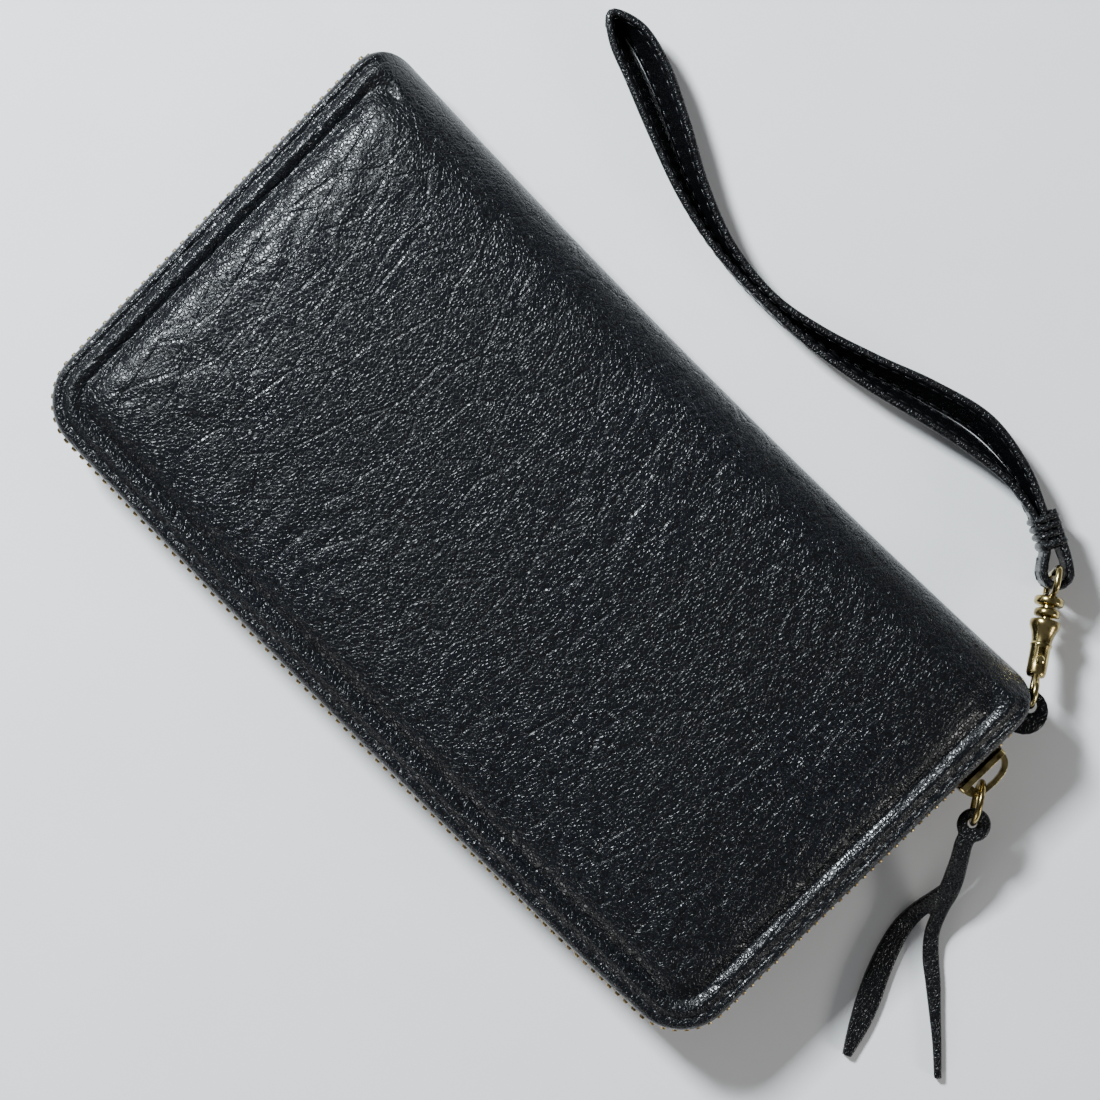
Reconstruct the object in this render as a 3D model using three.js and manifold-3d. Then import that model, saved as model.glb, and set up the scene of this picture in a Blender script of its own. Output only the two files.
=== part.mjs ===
// Long zip-around wallet with a wrist strap on a swivel snap and a split leather zip pull.
// Millimetres, +Z up. The wallet lies on its back cover: the origin is the middle of the flat
// underside, +X runs along the spine towards the strap end and +Y points at the spine.
import * as THREE from 'three';
import { mergeVertices } from 'three/addons/utils/BufferGeometryUtils.js';
import Module from 'manifold-3d';

const wasm = await Module();
wasm.setup();

// ---- Driving dimensions ----
const THICKNESS = 25;             // closed, back cover to the crown of the front cover
const MID = THICKNESS / 2;        // plane where the zip closes and the spine folds
const HALF_LENGTH = 97.7;         // zip crown, at the spine end
const SPINE_Y = 54.4;             // outer face of the spine at its two ends
const SPINE_SAG = 2.2;            // the spine bows in this much at mid length
const ZIP_Y = -51.8;              // zip crown on the long side, at the corners
const ZIP_BOW = 1.7;              // the long side bows out this much at mid length
const ZIP_CORNER = 12.5;          // corner radius of the zip crown
const TAPER = 0.015;              // the short sides lean in towards the zip side
const TAPER_FROM = 45;            // the lean starts at this Y
const TAPER_RUN = 85;
const LIP_INSET = 0.9;            // cover edge inside the zip crown
const SPINE_CORNER = 8.3;         // cover corner radius at the spine
const SKIN = 1.2;                 // cover leather, edge turned
const GAP = 0.3;                  // running clearance between neighbours
const FOLD_GAP = 0.15;            // half the gap between the two covers at the spine

const TOOTH_TIP = 0.8;            // half the gap between the two rows of teeth
const ROW_EDGE = 3.2;             // outer edge of each row, from the closing plane
const ROW_THICK = 2.4;
const TAPE_IN = 1.15;             // outer face of the tape inside the crown
const TAPE = 0.5;
const TAPE_SEWN = 2.75;           // outer face of the tape where it is sewn into the cover
const ZIP_END_RIGHT = 42.5;       // Y where the rows stop, slider end
const ZIP_END_LEFT = 47.6;        // Y where they stop at the other end

const LEAF_HALF = 1.2;            // half thickness of the middle coin pocket
const LEAF_LENGTH = 84;
const LEATHER = new THREE.Color(0.016, 0.017, 0.021);
const BRASS = new THREE.Color(0.62, 0.47, 0.2);

const materials = {
  cover: leather('cover', 0.38),
  strap: leather('strap', 0.45),
  lining: plain('lining', new THREE.Color(0.05, 0.04, 0.035), 0.75),
  board: plain('board', new THREE.Color(0.35, 0.3, 0.24), 0.9),
  foam: plain('foam', new THREE.Color(0.75, 0.73, 0.68), 0.95),
  tape: plain('tape', new THREE.Color(0.012, 0.012, 0.013), 0.85),
  brass: brass('brass', 0.28),
  steel: new THREE.MeshStandardMaterial({ name: 'steel', color: 0x8d8f92, roughness: 0.35, metalness: 1 }),
};

function leather(name, roughness) {
  return new THREE.MeshStandardMaterial({ name, color: LEATHER, roughness, metalness: 0 });
}

function brass(name, roughness) {
  return new THREE.MeshStandardMaterial({ name, color: BRASS, roughness, metalness: 1 });
}

function plain(name, color, roughness) {
  return new THREE.MeshStandardMaterial({ name, color, roughness, metalness: 0 });
}

// ---- Geometry helpers ----
const V2 = (x, y) => new THREE.Vector2(x, y);
const V3 = (x, y, z) => new THREE.Vector3(x, y, z);

function area2(a, b, c) {
  return (b.x - a.x) * (c.y - a.y) - (b.y - a.y) * (c.x - a.x);
}

/** Triangles over a flat outline, wound the way the outline is wound. */
function capFaces(outline) {
  const clockwise = THREE.ShapeUtils.isClockWise(outline);
  return THREE.ShapeUtils.triangulateShape(outline, []).map(([a, b, c]) => {
    const turned = area2(outline[a], outline[b], outline[c]) < 0;
    return turned === clockwise ? [a, b, c] : [a, c, b];
  });
}

function signedVolume(positions, index) {
  let sum = 0;
  for (let i = 0; i < index.length; i += 3) {
    const [a, b, c] = [0, 1, 2].map((k) => V3().fromArray(positions, index[i + k] * 3));
    sum += a.dot(b.cross(c)) / 6;
  }
  return sum;
}

/** Closed body through rings of equal point count, with a flat cap at each end. */
function loft(rings, firstCap, lastCap) {
  const count = rings[0].length;
  const positions = rings.flat().flatMap((p) => [p.x, p.y, p.z]);
  const index = [];
  for (let ring = 0; ring < rings.length - 1; ring += 1) {
    for (let i = 0; i < count; i += 1) {
      const a = ring * count + i;
      const b = ring * count + ((i + 1) % count);
      index.push(a, b, b + count, a, b + count, a + count);
    }
  }
  const last = (rings.length - 1) * count;
  capFaces(firstCap).forEach(([a, b, c]) => index.push(a, c, b));
  capFaces(lastCap).forEach(([a, b, c]) => index.push(last + a, last + b, last + c));
  if (signedVolume(positions, index) < 0) {
    for (let i = 0; i < index.length; i += 3) {
      [index[i], index[i + 1]] = [index[i + 1], index[i]];
    }
  }
  const geometry = new THREE.BufferGeometry();
  geometry.setAttribute('position', new THREE.Float32BufferAttribute(positions, 3));
  geometry.setIndex(index);
  geometry.computeVertexNormals();
  return geometry;
}

const flat = (ring) => ring.map((p) => V2(p.x, p.y));

/** Sideways direction, to the right of travel, at each point of a path seen from above. */
function sideways(path) {
  return path.map((p, i) => {
    const before = path[Math.max(i - 1, 0)];
    const after = path[Math.min(i + 1, path.length - 1)];
    const along = V2(after.x - before.x, after.y - before.y).normalize();
    return V2(along.y, -along.x);
  });
}

/** Sweeps a section of (outward, up) points along a path that keeps upright. */
function ribbon(path, section) {
  const normals = sideways(path);
  const rings = path.map((p, i) => section.map((s) => V3(
    p.x + normals[i].x * s.x,
    p.y + normals[i].y * s.x,
    (p.z ?? 0) + s.y,
  )));
  return loft(rings, section, section);
}

function toSolid(geometry) {
  const bare = geometry.clone();
  bare.deleteAttribute('normal');
  bare.deleteAttribute('uv');
  const merged = mergeVertices(bare, 1e-4);
  return new wasm.Manifold(new wasm.Mesh({
    numProp: 3,
    vertProperties: new Float32Array(merged.attributes.position.array),
    triVerts: new Uint32Array(merged.index.array),
  }));
}

function fromSolid(solid) {
  const mesh = solid.getMesh();
  const geometry = new THREE.BufferGeometry();
  geometry.setAttribute('position', new THREE.BufferAttribute(new Float32Array(mesh.vertProperties), 3));
  geometry.setIndex(new THREE.BufferAttribute(new Uint32Array(mesh.triVerts), 1));
  geometry.computeVertexNormals();
  return geometry;
}

const join = (...shapes) => fromSolid(shapes.map(toSolid).reduce((a, b) => a.add(b)));
const cut = (body, ...tools) => fromSolid(tools.map(toSolid).reduce((a, b) => a.subtract(b), toSolid(body)));

function block(x0, x1, y0, y1, z0, z1) {
  return new THREE.BoxGeometry(Math.abs(x1 - x0), Math.abs(y1 - y0), Math.abs(z1 - z0))
    .translate((x0 + x1) / 2, (y0 + y1) / 2, (z0 + z1) / 2);
}

function extrude(shape, z0, z1) {
  return new THREE.ExtrudeGeometry(shape, { depth: z1 - z0, bevelEnabled: false, curveSegments: 8 })
    .translate(0, 0, z0);
}

/** Solid of revolution about the X axis from (x, radius) pairs that start and end on the axis. */
function turned(pairs, segments = 16) {
  return new THREE.LatheGeometry(pairs.map(([x, r]) => V2(r, x)), segments).rotateZ(-Math.PI / 2);
}

function rod(points, radius, steps, sides = 8) {
  const curve = new THREE.CatmullRomCurve3(points, false, 'centripetal');
  const section = new THREE.Shape().absarc(0, 0, radius, 0, Math.PI * 2);
  return new THREE.ExtrudeGeometry(section, {
    steps, bevelEnabled: false, extrudePath: curve, curveSegments: sides / 2,
  });
}

// ---- Plan outlines ----
const OUTLINE = { edge: 10, corner: 7, side: 6, spineCorner: 5 };

function arc(cx, cy, r, from, to, steps) {
  return Array.from({ length: steps + 1 }, (_, i) => {
    const a = THREE.MathUtils.degToRad(from + ((to - from) * i) / steps);
    return V2(cx + r * Math.cos(a), cy + r * Math.sin(a));
  });
}

function line(a, b, steps) {
  return Array.from({ length: steps - 1 }, (_, i) => a.clone().lerp(b, (i + 1) / steps));
}

/** Leans the short sides in and bows the two long edges, the same way on every layer. */
function shapePlan(p) {
  const lean = 1 - (TAPER * Math.max(TAPER_FROM - p.y, 0)) / TAPER_RUN;
  const bow = Math.max(1 - (p.x / HALF_LENGTH) ** 2, 0);
  const share = THREE.MathUtils.clamp((p.y - ZIP_Y) / (SPINE_Y - ZIP_Y), 0, 1);
  return V2(p.x * lean, p.y - bow * (SPINE_SAG * share ** 3 + ZIP_BOW * (1 - share) ** 3));
}

/** Rounded rectangle, anticlockwise from the left end of the zip side, inset from the zip crown. */
function outline(inset, spineInset) {
  const x = HALF_LENGTH - inset;
  const low = ZIP_Y + inset;
  const high = SPINE_Y - spineInset;
  const r = Math.max(ZIP_CORNER - inset, 2);
  const s = Math.max(SPINE_CORNER + LIP_INSET - Math.max(inset, LIP_INSET), 1);
  const n = OUTLINE;
  return [
    ...arc(-x + r, low + r, r, 180, 270, n.corner),
    ...line(V2(-x + r, low), V2(x - r, low), n.edge),
    ...arc(x - r, low + r, r, 270, 360, n.corner),
    ...line(V2(x, low + r), V2(x, high - s), n.side),
    ...arc(x - s, high - s, s, 0, 90, n.spineCorner),
    ...line(V2(x - s, high), V2(-x + s, high), n.edge),
    ...arc(-x + s, high - s, s, 90, 180, n.spineCorner),
    ...line(V2(-x, high - s), V2(-x, low + r), n.side),
  ].map(shapePlan);
}

/** The zip's run: up one short side, round the long side and up the other, on the crown line. */
function zipRun(inset) {
  const x = HALF_LENGTH - inset;
  const low = ZIP_Y + inset;
  const r = ZIP_CORNER - inset;
  return [
    V2(-x, ZIP_END_LEFT),
    ...line(V2(-x, ZIP_END_LEFT), V2(-x, low + r), OUTLINE.side),
    ...arc(-x + r, low + r, r, 180, 270, OUTLINE.corner),
    ...line(V2(-x + r, low), V2(x - r, low), OUTLINE.edge),
    ...arc(x - r, low + r, r, 270, 360, OUTLINE.corner),
    ...line(V2(x, low + r), V2(x, ZIP_END_RIGHT), OUTLINE.side),
    V2(x, ZIP_END_RIGHT),
  ].map(shapePlan);
}

// ---- Covers ----
// Each profile runs from the turned edge inwards: [inset from the cover edge, height over MID].
const FRONT_OUTER = [
  [0, 6.2], [0.1, 7.4], [0.9, 8.7], [2.6, 9.6], [4.6, 9.9],
  [6.5, 9.1], [9.5, 10.3], [14, 11.3], [24, 12.1], [40, MID],
];
const FRONT_INNER = [
  [1.2, 6.2], [1.3, 7.1], [2, 7.9], [3.3, 8.5], [4.8, 8.7],
  [6.5, 7.9], [9.9, 9.1], [14.3, 10.1], [24, 10.9], [40, 11.3],
];
const BACK_OUTER = [
  [0, 6.2], [0.1, 7.4], [0.9, 8.8], [2.6, 9.9], [4.6, 10.3],
  [6.5, 9.8], [9.5, 11.4], [14, 12.3], [20, MID], [40, MID],
];
const BACK_INNER = [
  [1.2, 6.2], [1.3, 7.1], [2, 7.9], [3.3, 8.7], [4.8, 9.1],
  [6.5, 8.6], [9.9, 10.2], [14.3, 11.1], [20, 11.3], [40, 11.3],
];
const SPINE_TURN = [0.7, 12, 24, 36, 47, 56, 67, 78, 90];
const SPINE_FLAT = 30;            // past this inset the cover face is level

/** How far a cover surface stands off the middle plane at a distance from the spine's face. */
function heightFromSpine(radius, fromFace) {
  const across = THREE.MathUtils.clamp(1 - (fromFace - (MID - radius)) / radius, 0, 1);
  return Math.max(radius * Math.sqrt(1 - across ** 2), FOLD_GAP);
}

/** One ring of a cover surface: the lower of the edge profile and the spine's curve. */
function coverRing(profile, step, radius, side) {
  const [inset, edgeHeight] = profile[step];
  const turn = THREE.MathUtils.degToRad(SPINE_TURN[step] ?? 90);
  const spineInset = step < SPINE_TURN.length ? MID - radius * Math.cos(turn) : SPINE_FLAT;
  const base = outline(LIP_INSET + inset, Math.max(spineInset, 0.02));
  return base.map((p) => {
    const sag = SPINE_SAG * Math.max(1 - (p.x / HALF_LENGTH) ** 2, 0);
    const fromFace = Math.max(SPINE_Y - sag - p.y, 0);
    return V3(p.x, p.y, MID + side * Math.min(edgeHeight, heightFromSpine(radius, fromFace)));
  });
}

function cover(outerProfile, innerProfile, side) {
  const outer = outerProfile.map((_, step) => coverRing(outerProfile, step, MID, side));
  const inner = innerProfile.map((_, step) => coverRing(innerProfile, step, MID - SKIN, side));
  const rings = [...outer.reverse(), ...inner];
  return loft(rings, flat(rings[0]), flat(rings[rings.length - 1]));
}

/** Flat layer inside a cover. */
function layer(inset, spineEdgeY, z0, z1) {
  const ring = outline(LIP_INSET + inset, SPINE_Y - spineEdgeY);
  const rings = [z0, z1].map((z) => ring.map((p) => V3(p.x, p.y, z)));
  return loft(rings, ring, ring);
}

/** Foam pad with a softened rim: [inset from the cover edge, z] from one face to the other. */
function pad(steps, spineEdgeY) {
  const rings = steps.map(([inset, z]) => outline(LIP_INSET + inset, SPINE_Y - spineEdgeY)
    .map((p) => V3(p.x, p.y, z)));
  return loft(rings, flat(rings[0]), flat(rings[rings.length - 1]));
}

// ---- Zip ----
function teethRow(side) {
  const section = [
    [0, TOOTH_TIP], [0, ROW_EDGE - 0.5], [-0.5, ROW_EDGE],
    [-ROW_THICK + 0.5, ROW_EDGE], [-ROW_THICK, ROW_EDGE - 0.5], [-ROW_THICK, TOOTH_TIP],
  ].map(([out, up]) => V2(out, MID + side * up));
  return ribbon(zipRun(0), section);
}

function zipTape(side) {
  const start = ROW_EDGE + 0.1;
  const section = [
    [-TAPE_IN, start], [-TAPE_IN, 4.5], [-TAPE_SEWN, 5.9], [-TAPE_SEWN, 7],
    [-TAPE_SEWN - TAPE, 7], [-TAPE_SEWN - TAPE, 5.7], [-TAPE_IN - TAPE, 4.4], [-TAPE_IN - TAPE, start],
  ].map(([out, up]) => V2(out, MID + side * up));
  return ribbon(zipRun(0), section);
}

const SIDE_LEAN = Math.atan((HALF_LENGTH * TAPER) / TAPER_RUN);
const SLIDER_Y = 34.3;
const SLIDER_HALF = 6.2;
const PLATE = { in: 0.3, out: 1.6, half: 4.2, back: 2.7, backOut: 3.7 };

function crownX(y) {
  return HALF_LENGTH * (1 - (TAPER * Math.max(TAPER_FROM - y, 0)) / TAPER_RUN);
}

/** Plate of the slider seen from the side: a wide throat towards the spine, a narrower tail. */
function sliderPlate(x0, x1) {
  const h = PLATE.half;
  const shape = new THREE.Shape();
  shape.moveTo(-SLIDER_HALF, -h + 1);
  shape.quadraticCurveTo(-SLIDER_HALF, -h, -SLIDER_HALF + 1, -h);
  shape.lineTo(SLIDER_HALF - 1.6, -h);
  shape.quadraticCurveTo(SLIDER_HALF, -h, SLIDER_HALF, -h + 1.8);
  shape.lineTo(SLIDER_HALF, h - 1.8);
  shape.quadraticCurveTo(SLIDER_HALF, h, SLIDER_HALF - 1.6, h);
  shape.lineTo(-SLIDER_HALF + 1, h);
  shape.quadraticCurveTo(-SLIDER_HALF, h, -SLIDER_HALF, h - 1);
  return new THREE.ExtrudeGeometry(shape, { depth: x1 - x0, bevelEnabled: false, curveSegments: 4 })
    .rotateX(Math.PI / 2)
    .rotateZ(Math.PI / 2)
    .translate(x0, 0, 0);
}

/** Arch on the slider's outer plate that carries the pull ring. */
function bail() {
  const outer = new THREE.Shape();
  outer.moveTo(PLATE.out - 0.3, -6);
  outer.quadraticCurveTo(4.5, -6, 5.1, -2.8);
  outer.lineTo(5.3, 0.2);
  outer.quadraticCurveTo(5.3, 6, PLATE.out - 0.3, 6);
  const window = new THREE.Path();
  window.moveTo(PLATE.out - 0.1, -3.6);
  window.quadraticCurveTo(3.8, -3.8, 4.1, -2.4);
  window.lineTo(4.25, 0.2);
  window.quadraticCurveTo(4.25, 4.6, PLATE.out - 0.1, 4.8);
  outer.holes.push(window);
  return extrude(outer, -1, 1);
}

/** Slider about its own centre: X out of the wallet, Y along the zip, Z across the teeth. */
function sliderBody() {
  const flangeTop = -ROW_EDGE - GAP;
  const tapeOut = -TAPE_IN + GAP;
  const tapeIn = -TAPE_IN - TAPE - GAP;
  return join(
    sliderPlate(PLATE.in, PLATE.out),
    sliderPlate(-PLATE.backOut, -PLATE.back),
    block(-PLATE.back - 0.1, PLATE.in + 0.1, SLIDER_HALF - 2.3, SLIDER_HALF - 0.5, -0.5, 0.5),
    block(tapeOut, PLATE.in + 0.1, -5, 4.5, -PLATE.half, flangeTop),
    block(-PLATE.back - 0.1, tapeIn, -5, 4.5, -PLATE.half, flangeTop),
    bail(),
  );
}

// ---- Pull ring and split leather pull ----
const RING = { x: 102.9, y: 29, z: 12.1, radius: 4.4, wire: 0.65, heading: -58.3 };
const PULL_Z = 11.2;              // underside of the pull's head on the ring
const PULL_THICK = 1.8;

function pullRing() {
  return new THREE.TorusGeometry(RING.radius, RING.wire, 8, 24)
    .rotateX(Math.PI / 2)
    .rotateZ(THREE.MathUtils.degToRad(RING.heading))
    .translate(RING.x, RING.y, RING.z);
}

function ringEnd(sign) {
  const heading = THREE.MathUtils.degToRad(RING.heading);
  return V2(RING.x + sign * RING.radius * Math.cos(heading), RING.y + sign * RING.radius * Math.sin(heading));
}

/** Smooth route through a few points, sampled evenly. */
function route(points, steps) {
  return new THREE.CatmullRomCurve3(points, false, 'centripetal').getSpacedPoints(steps);
}

const strip = (halfWidth, thick) => [
  V2(-halfWidth, 0), V2(halfWidth, 0), V2(halfWidth, thick), V2(-halfWidth, thick),
];

function leatherPull() {
  const hole = ringEnd(1);
  const disc = new THREE.Shape().absarc(hole.x + 0.5, hole.y - 0.1, 3.6, 0, Math.PI * 2);
  const neck = route([
    V3(hole.x + 1, hole.y - 1.5, PULL_Z), V3(107.6, 19.5, PULL_Z - 1.2),
    V3(111, 12.2, 5.6), V3(111.4, 3, 1.4), V3(113.8, -6, 0),
    V3(117.9, -17, 0), V3(123, -28.5, 0),
  ], 22);
  const branch = route([
    V3(110.2, 14.2, 6.6), V3(113.2, 9.2, 3.8), V3(117.4, 3.6, 1.2),
    V3(122.6, -3.6, 0), V3(130.8, -10.8, 0), V3(141, -18.2, 0),
  ], 18);
  const head = extrude(disc, PULL_Z, PULL_Z + PULL_THICK);
  const bore = new THREE.CylinderGeometry(1.15, 1.15, 6, 12).rotateX(Math.PI / 2)
    .translate(hole.x, hole.y, PULL_Z + 1);
  const whole = join(
    head,
    ribbon(neck, strip(1.95, PULL_THICK)),
    ribbon(branch, strip(1.85, PULL_THICK)),
  );
  return cut(whole, bore);
}

// ---- Tab at the spine end ----
const TAB = { x: 96.3, y: 49.4, radius: 4.9, half: 0.8, holeX: 96.4, holeY: 51, hole: 1.5 };

function spineTab() {
  const root = { x: 84, low: 45.6, high: 50.6 };
  const shape = new THREE.Shape();
  shape.moveTo(root.x, root.low);
  shape.lineTo(TAB.x - 4.4, root.low);
  shape.absarc(TAB.x, TAB.y, TAB.radius, Math.PI * 1.2, Math.PI * 2.87, false);
  shape.lineTo(root.x, root.high);
  shape.holes.push(new THREE.Path().absarc(TAB.holeX, TAB.holeY, TAB.hole, 0, Math.PI * 2, true));
  return extrude(shape, MID - TAB.half, MID + TAB.half);
}

// ---- Swivel snap, built along +X from the hook's bend, then turned into place ----
const SNAP = { length: 29, barrelFrom: 6.2, barrelTo: 18.4, radius: 2.1, drop: 0.5 };
const STRAP_HEIGHT = 8.8;
const EYE_Z = 6.7;                // height of the eye's centre, its wire just over the table
const SNAP_HEADING = Math.atan2(0.841, -0.541);
const SNAP_PITCH = Math.asin((MID - SNAP.drop - EYE_Z) / SNAP.length);
const BOLT = { z: -0.7, radius: 0.65, bore: 1, from: 2.4, to: 11, knobX: 9.6 };

function snapBody() {
  const barrel = turned([
    [SNAP.barrelFrom, 0], [SNAP.barrelFrom, 1.9], [6.6, SNAP.radius], [13.6, SNAP.radius],
    [15.8, 2.5], [17.2, 3.2], [SNAP.barrelTo, 3.2], [SNAP.barrelTo, 0],
  ]);
  const hook = rod([
    V3(7.4, 0, 1), V3(5.4, 0, 1.9), V3(3.9, 0, 3.2), V3(1.9, 0, 3.3), V3(0.4, 0, 2.3),
    V3(-0.1, 0, 0.8), V3(0.4, 0, -0.5), V3(1.8, 0, -0.85),
  ], 0.72, 16);
  const bore = new THREE.CylinderGeometry(BOLT.bore, BOLT.bore, 12, 12).rotateZ(Math.PI / 2)
    .translate(BOLT.from + 9.1, 0, BOLT.z);
  const socket = new THREE.CylinderGeometry(1.5, 1.5, 4, 14).rotateZ(Math.PI / 2).translate(19.2, 0, 0);
  const slot = block(8.7, 12.9, -0.75, 0.75, BOLT.z, 3);
  return cut(join(barrel, hook), bore, socket, slot);
}

function snapBolt() {
  const shaft = new THREE.CylinderGeometry(BOLT.radius, BOLT.radius, BOLT.to - BOLT.from, 12)
    .rotateZ(Math.PI / 2).translate((BOLT.from + BOLT.to) / 2, 0, BOLT.z);
  const stem = new THREE.CylinderGeometry(0.5, 0.5, 3.3, 10).rotateX(Math.PI / 2)
    .translate(BOLT.knobX, 0, BOLT.z + 1.65);
  const knob = new THREE.CylinderGeometry(0.62, 0.75, 0.7, 12).rotateX(Math.PI / 2)
    .translate(BOLT.knobX, 0, BOLT.z + 3.5);
  return join(shaft, stem, knob);
}

/** Return spring behind the bolt, as a coil. */
function snapSpring() {
  const turns = 4;
  const from = BOLT.to + 0.2;
  const to = 16.4;
  const points = Array.from({ length: turns * 8 + 1 }, (_, i) => {
    const angle = (i / 8) * Math.PI * 2;
    const x = from + 0.2 + ((to - from - 0.4) * i) / (turns * 8);
    return V3(x, 0.66 * Math.cos(angle), BOLT.z + 0.66 * Math.sin(angle));
  });
  return rod(points, 0.16, turns * 8, 4);
}

function swivelEye() {
  const post = turned([
    [17.4, 0], [17.4, 1.2], [19.1, 1.2], [19.4, 2.7], [20.6, 2.7], [21, 1.7],
    [21.5, 1.7], [21.8, 3.1], [23.3, 3.1], [23.6, 1.4], [24.3, 1.1], [24.3, 0],
  ]);
  const half = STRAP_HEIGHT / 2 + 1.45;
  const loop = [
    V3(23.4, 0, 0.8), V3(23.7, 0, 2.6), V3(24, 0, half - 1.2), V3(25, 0, half), V3(27.9, 0, half),
    V3(28.9, 0, half - 0.8), V3(29, 0, 0), V3(28.9, 0, -half + 0.8), V3(27.9, 0, -half),
    V3(25, 0, -half), V3(24, 0, -half + 1.2), V3(23.7, 0, -2.6), V3(23.4, 0, -0.8),
  ];
  return join(post, rod(loop, 0.72, 36));
}

// ---- Wrist strap: one leather band folded into a loop, standing on its edge ----
const BAND = 1.6;                 // leather thickness
// Middle line of the loop from the eye outwards: [x, y, overall width, height of the lower edge].
const LOOP = [
  [76.4, 77.8, 3.7, 1.8], [70, 81, 3.8, 1.3], [61, 83.7, 6.6, 0.6], [49, 84.2, 10, 0],
  [36, 81.2, 9.6, 0], [24, 77.5, 8, 0], [10, 74.2, 5.6, 0], [-2, 73, 3.8, 0],
  [-16, 74, 5, 0], [-29, 77.7, 7.4, 0], [-43, 83.9, 9.9, 0], [-54, 88.7, 10.6, 0], [-63, 91.4, 8.6, 0],
];
const LOOP_TIP = [-68.2, 92];
const LOOP_FOOT_TIP = [-67, 91.9];
const BAND_SPREAD = 9;            // wide enough to leave the loop's own width at the upper edges
const FOOT_SPREAD = 0.95;         // half distance between the strands at their lower edges
const BAND_STEPS = 132;
const FOLD_RADIUS = 2.85;         // middle of the leather round the eye's wire
const WRAPPED = 2;                // loop points that the folded end lies over

function eyeWire() {
  const along = SNAP.length * Math.cos(SNAP_PITCH);
  return V2(
    TAB.holeX + along * Math.cos(SNAP_HEADING),
    TAB.holeY + along * Math.sin(SNAP_HEADING),
  );
}

/** Points of one strand's edge; sign 1 is the upper strand, -1 the lower, extra layers lie outside. */
function strand(sign, spread, layers = 0) {
  const across = sideways(LOOP.map(([x, y]) => V3(x, y, 0)));
  return LOOP.map(([x, y, width, z], i) => {
    const apart = Math.min((width - BAND) / 2, spread);
    const off = sign * (apart + layers * (BAND + GAP / 2));
    return V3(x + across[i].x * off, y + across[i].y * off, z);
  });
}

/** One edge: up a strand to the tip, back down the other, round the eye's wire, over the first end. */
function bandEdge(spread, tip) {
  const wire = eyeWire();
  const heading = Math.atan2(wire.y - LOOP[0][1], wire.x - LOOP[0][0]);
  const fold = [-105, -55, 0, 55, 100].map((degrees) => {
    const a = heading + THREE.MathUtils.degToRad(degrees);
    return V3(wire.x + FOLD_RADIUS * Math.cos(a), wire.y + FOLD_RADIUS * Math.sin(a), 2.3);
  });
  const points = [
    ...strand(1, spread), V3(...tip, 0), ...strand(-1, spread).reverse(), ...fold,
    ...strand(1, spread, 1).slice(0, WRAPPED),
  ];
  return new THREE.CatmullRomCurve3(points, false, 'centripetal').getPoints(BAND_STEPS);
}

/** The band leans out: its lower edges almost touch and its upper edges stand apart. */
function wristStrap() {
  const upper = bandEdge(BAND_SPREAD, LOOP_TIP);
  const lower = bandEdge(FOOT_SPREAD, LOOP_FOOT_TIP);
  const normals = sideways(upper);
  const section = strip(BAND / 2, STRAP_HEIGHT);
  const rings = upper.map((p, i) => section.map((s) => {
    const spot = lower[i].clone().lerp(p, s.y / STRAP_HEIGHT);
    return V3(spot.x + normals[i].x * s.x, spot.y + normals[i].y * s.x, spot.z + s.y);
  }));
  return loft(rings, section, section);
}

// ---- Inside: card pockets, middle coin pocket, gussets ----
const POCKET = { thick: 0.4, halfLength: 82, gutter: 1.5, rows: [[-43, -8], [-7, 26]] };
const COIN = { edge: -29, spine: 44, skin: 0.6, zip: 1.5 };
const GUSSET = { thick: 0.5, low: -40, high: 42, root: 90, fold: 72, leaf: 84.6 };

function cardPocket(column, row, z0) {
  const inner = column < 0 ? [-POCKET.halfLength, -POCKET.gutter] : [POCKET.gutter, POCKET.halfLength];
  const [y0, y1] = POCKET.rows[row];
  return block(inner[0], inner[1], y0, y1, z0, z0 + POCKET.thick);
}

/** Folded end wall: root on the back half, two folds inwards, root on the front half. */
function gusset(side) {
  const half = GUSSET.thick / 2;
  const { root, fold, leaf } = GUSSET;
  const inner = [[root, 5.4 + half], [fold - half, 3.5], [leaf - half, 1.7 - half]];
  const outer = [[root, 5.4 - half], [fold + 4 * half, 3.5], [leaf + half, 1.7 + half]];
  const upsideDown = (points) => points.map(([x, h]) => [x, -h]).reverse();
  const inside = [...inner, ...upsideDown(inner)];
  const section = [...inside, ...upsideDown(outer).reverse(), ...outer.slice().reverse()];
  const shape = new THREE.Shape(section.map(([x, h]) => V2(side * x, h)));
  return new THREE.ExtrudeGeometry(shape, { depth: GUSSET.high - GUSSET.low, bevelEnabled: false })
    .rotateX(Math.PI / 2)
    .translate(0, GUSSET.high, MID);
}

function coinZipRow(side) {
  const half = LEAF_LENGTH - 3;
  const [low, high] = [MID + side * 0.35, MID + side * COIN.zip];
  return block(-half, half, COIN.edge - 2.2, COIN.edge - 0.5, low, high);
}

const COIN_SLIDER_X = 66;
const COIN_PULL = 11;             // reach of the coin zip's pull

function coinSlider() {
  const y = COIN.edge;
  return join(
    block(-3.2, 3.2, y - 3.3, y - 2.5, -1.9, 1.9),
    block(1.4, 2.8, y - 2.6, y - 0.2, -0.2, 0.2),
    block(-2.4, 2.4, y - 0.35, y - 0.05, -0.2, 0.2),
    block(-2, -1.4, y - 4.6, y - 3.2, -0.6, 0.6),
    block(1.4, 2, y - 4.6, y - 3.2, -0.6, 0.6),
    block(-2, 2, y - 5, y - 4.5, -0.6, 0.6),
  ).translate(COIN_SLIDER_X, 0, MID);
}

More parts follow.
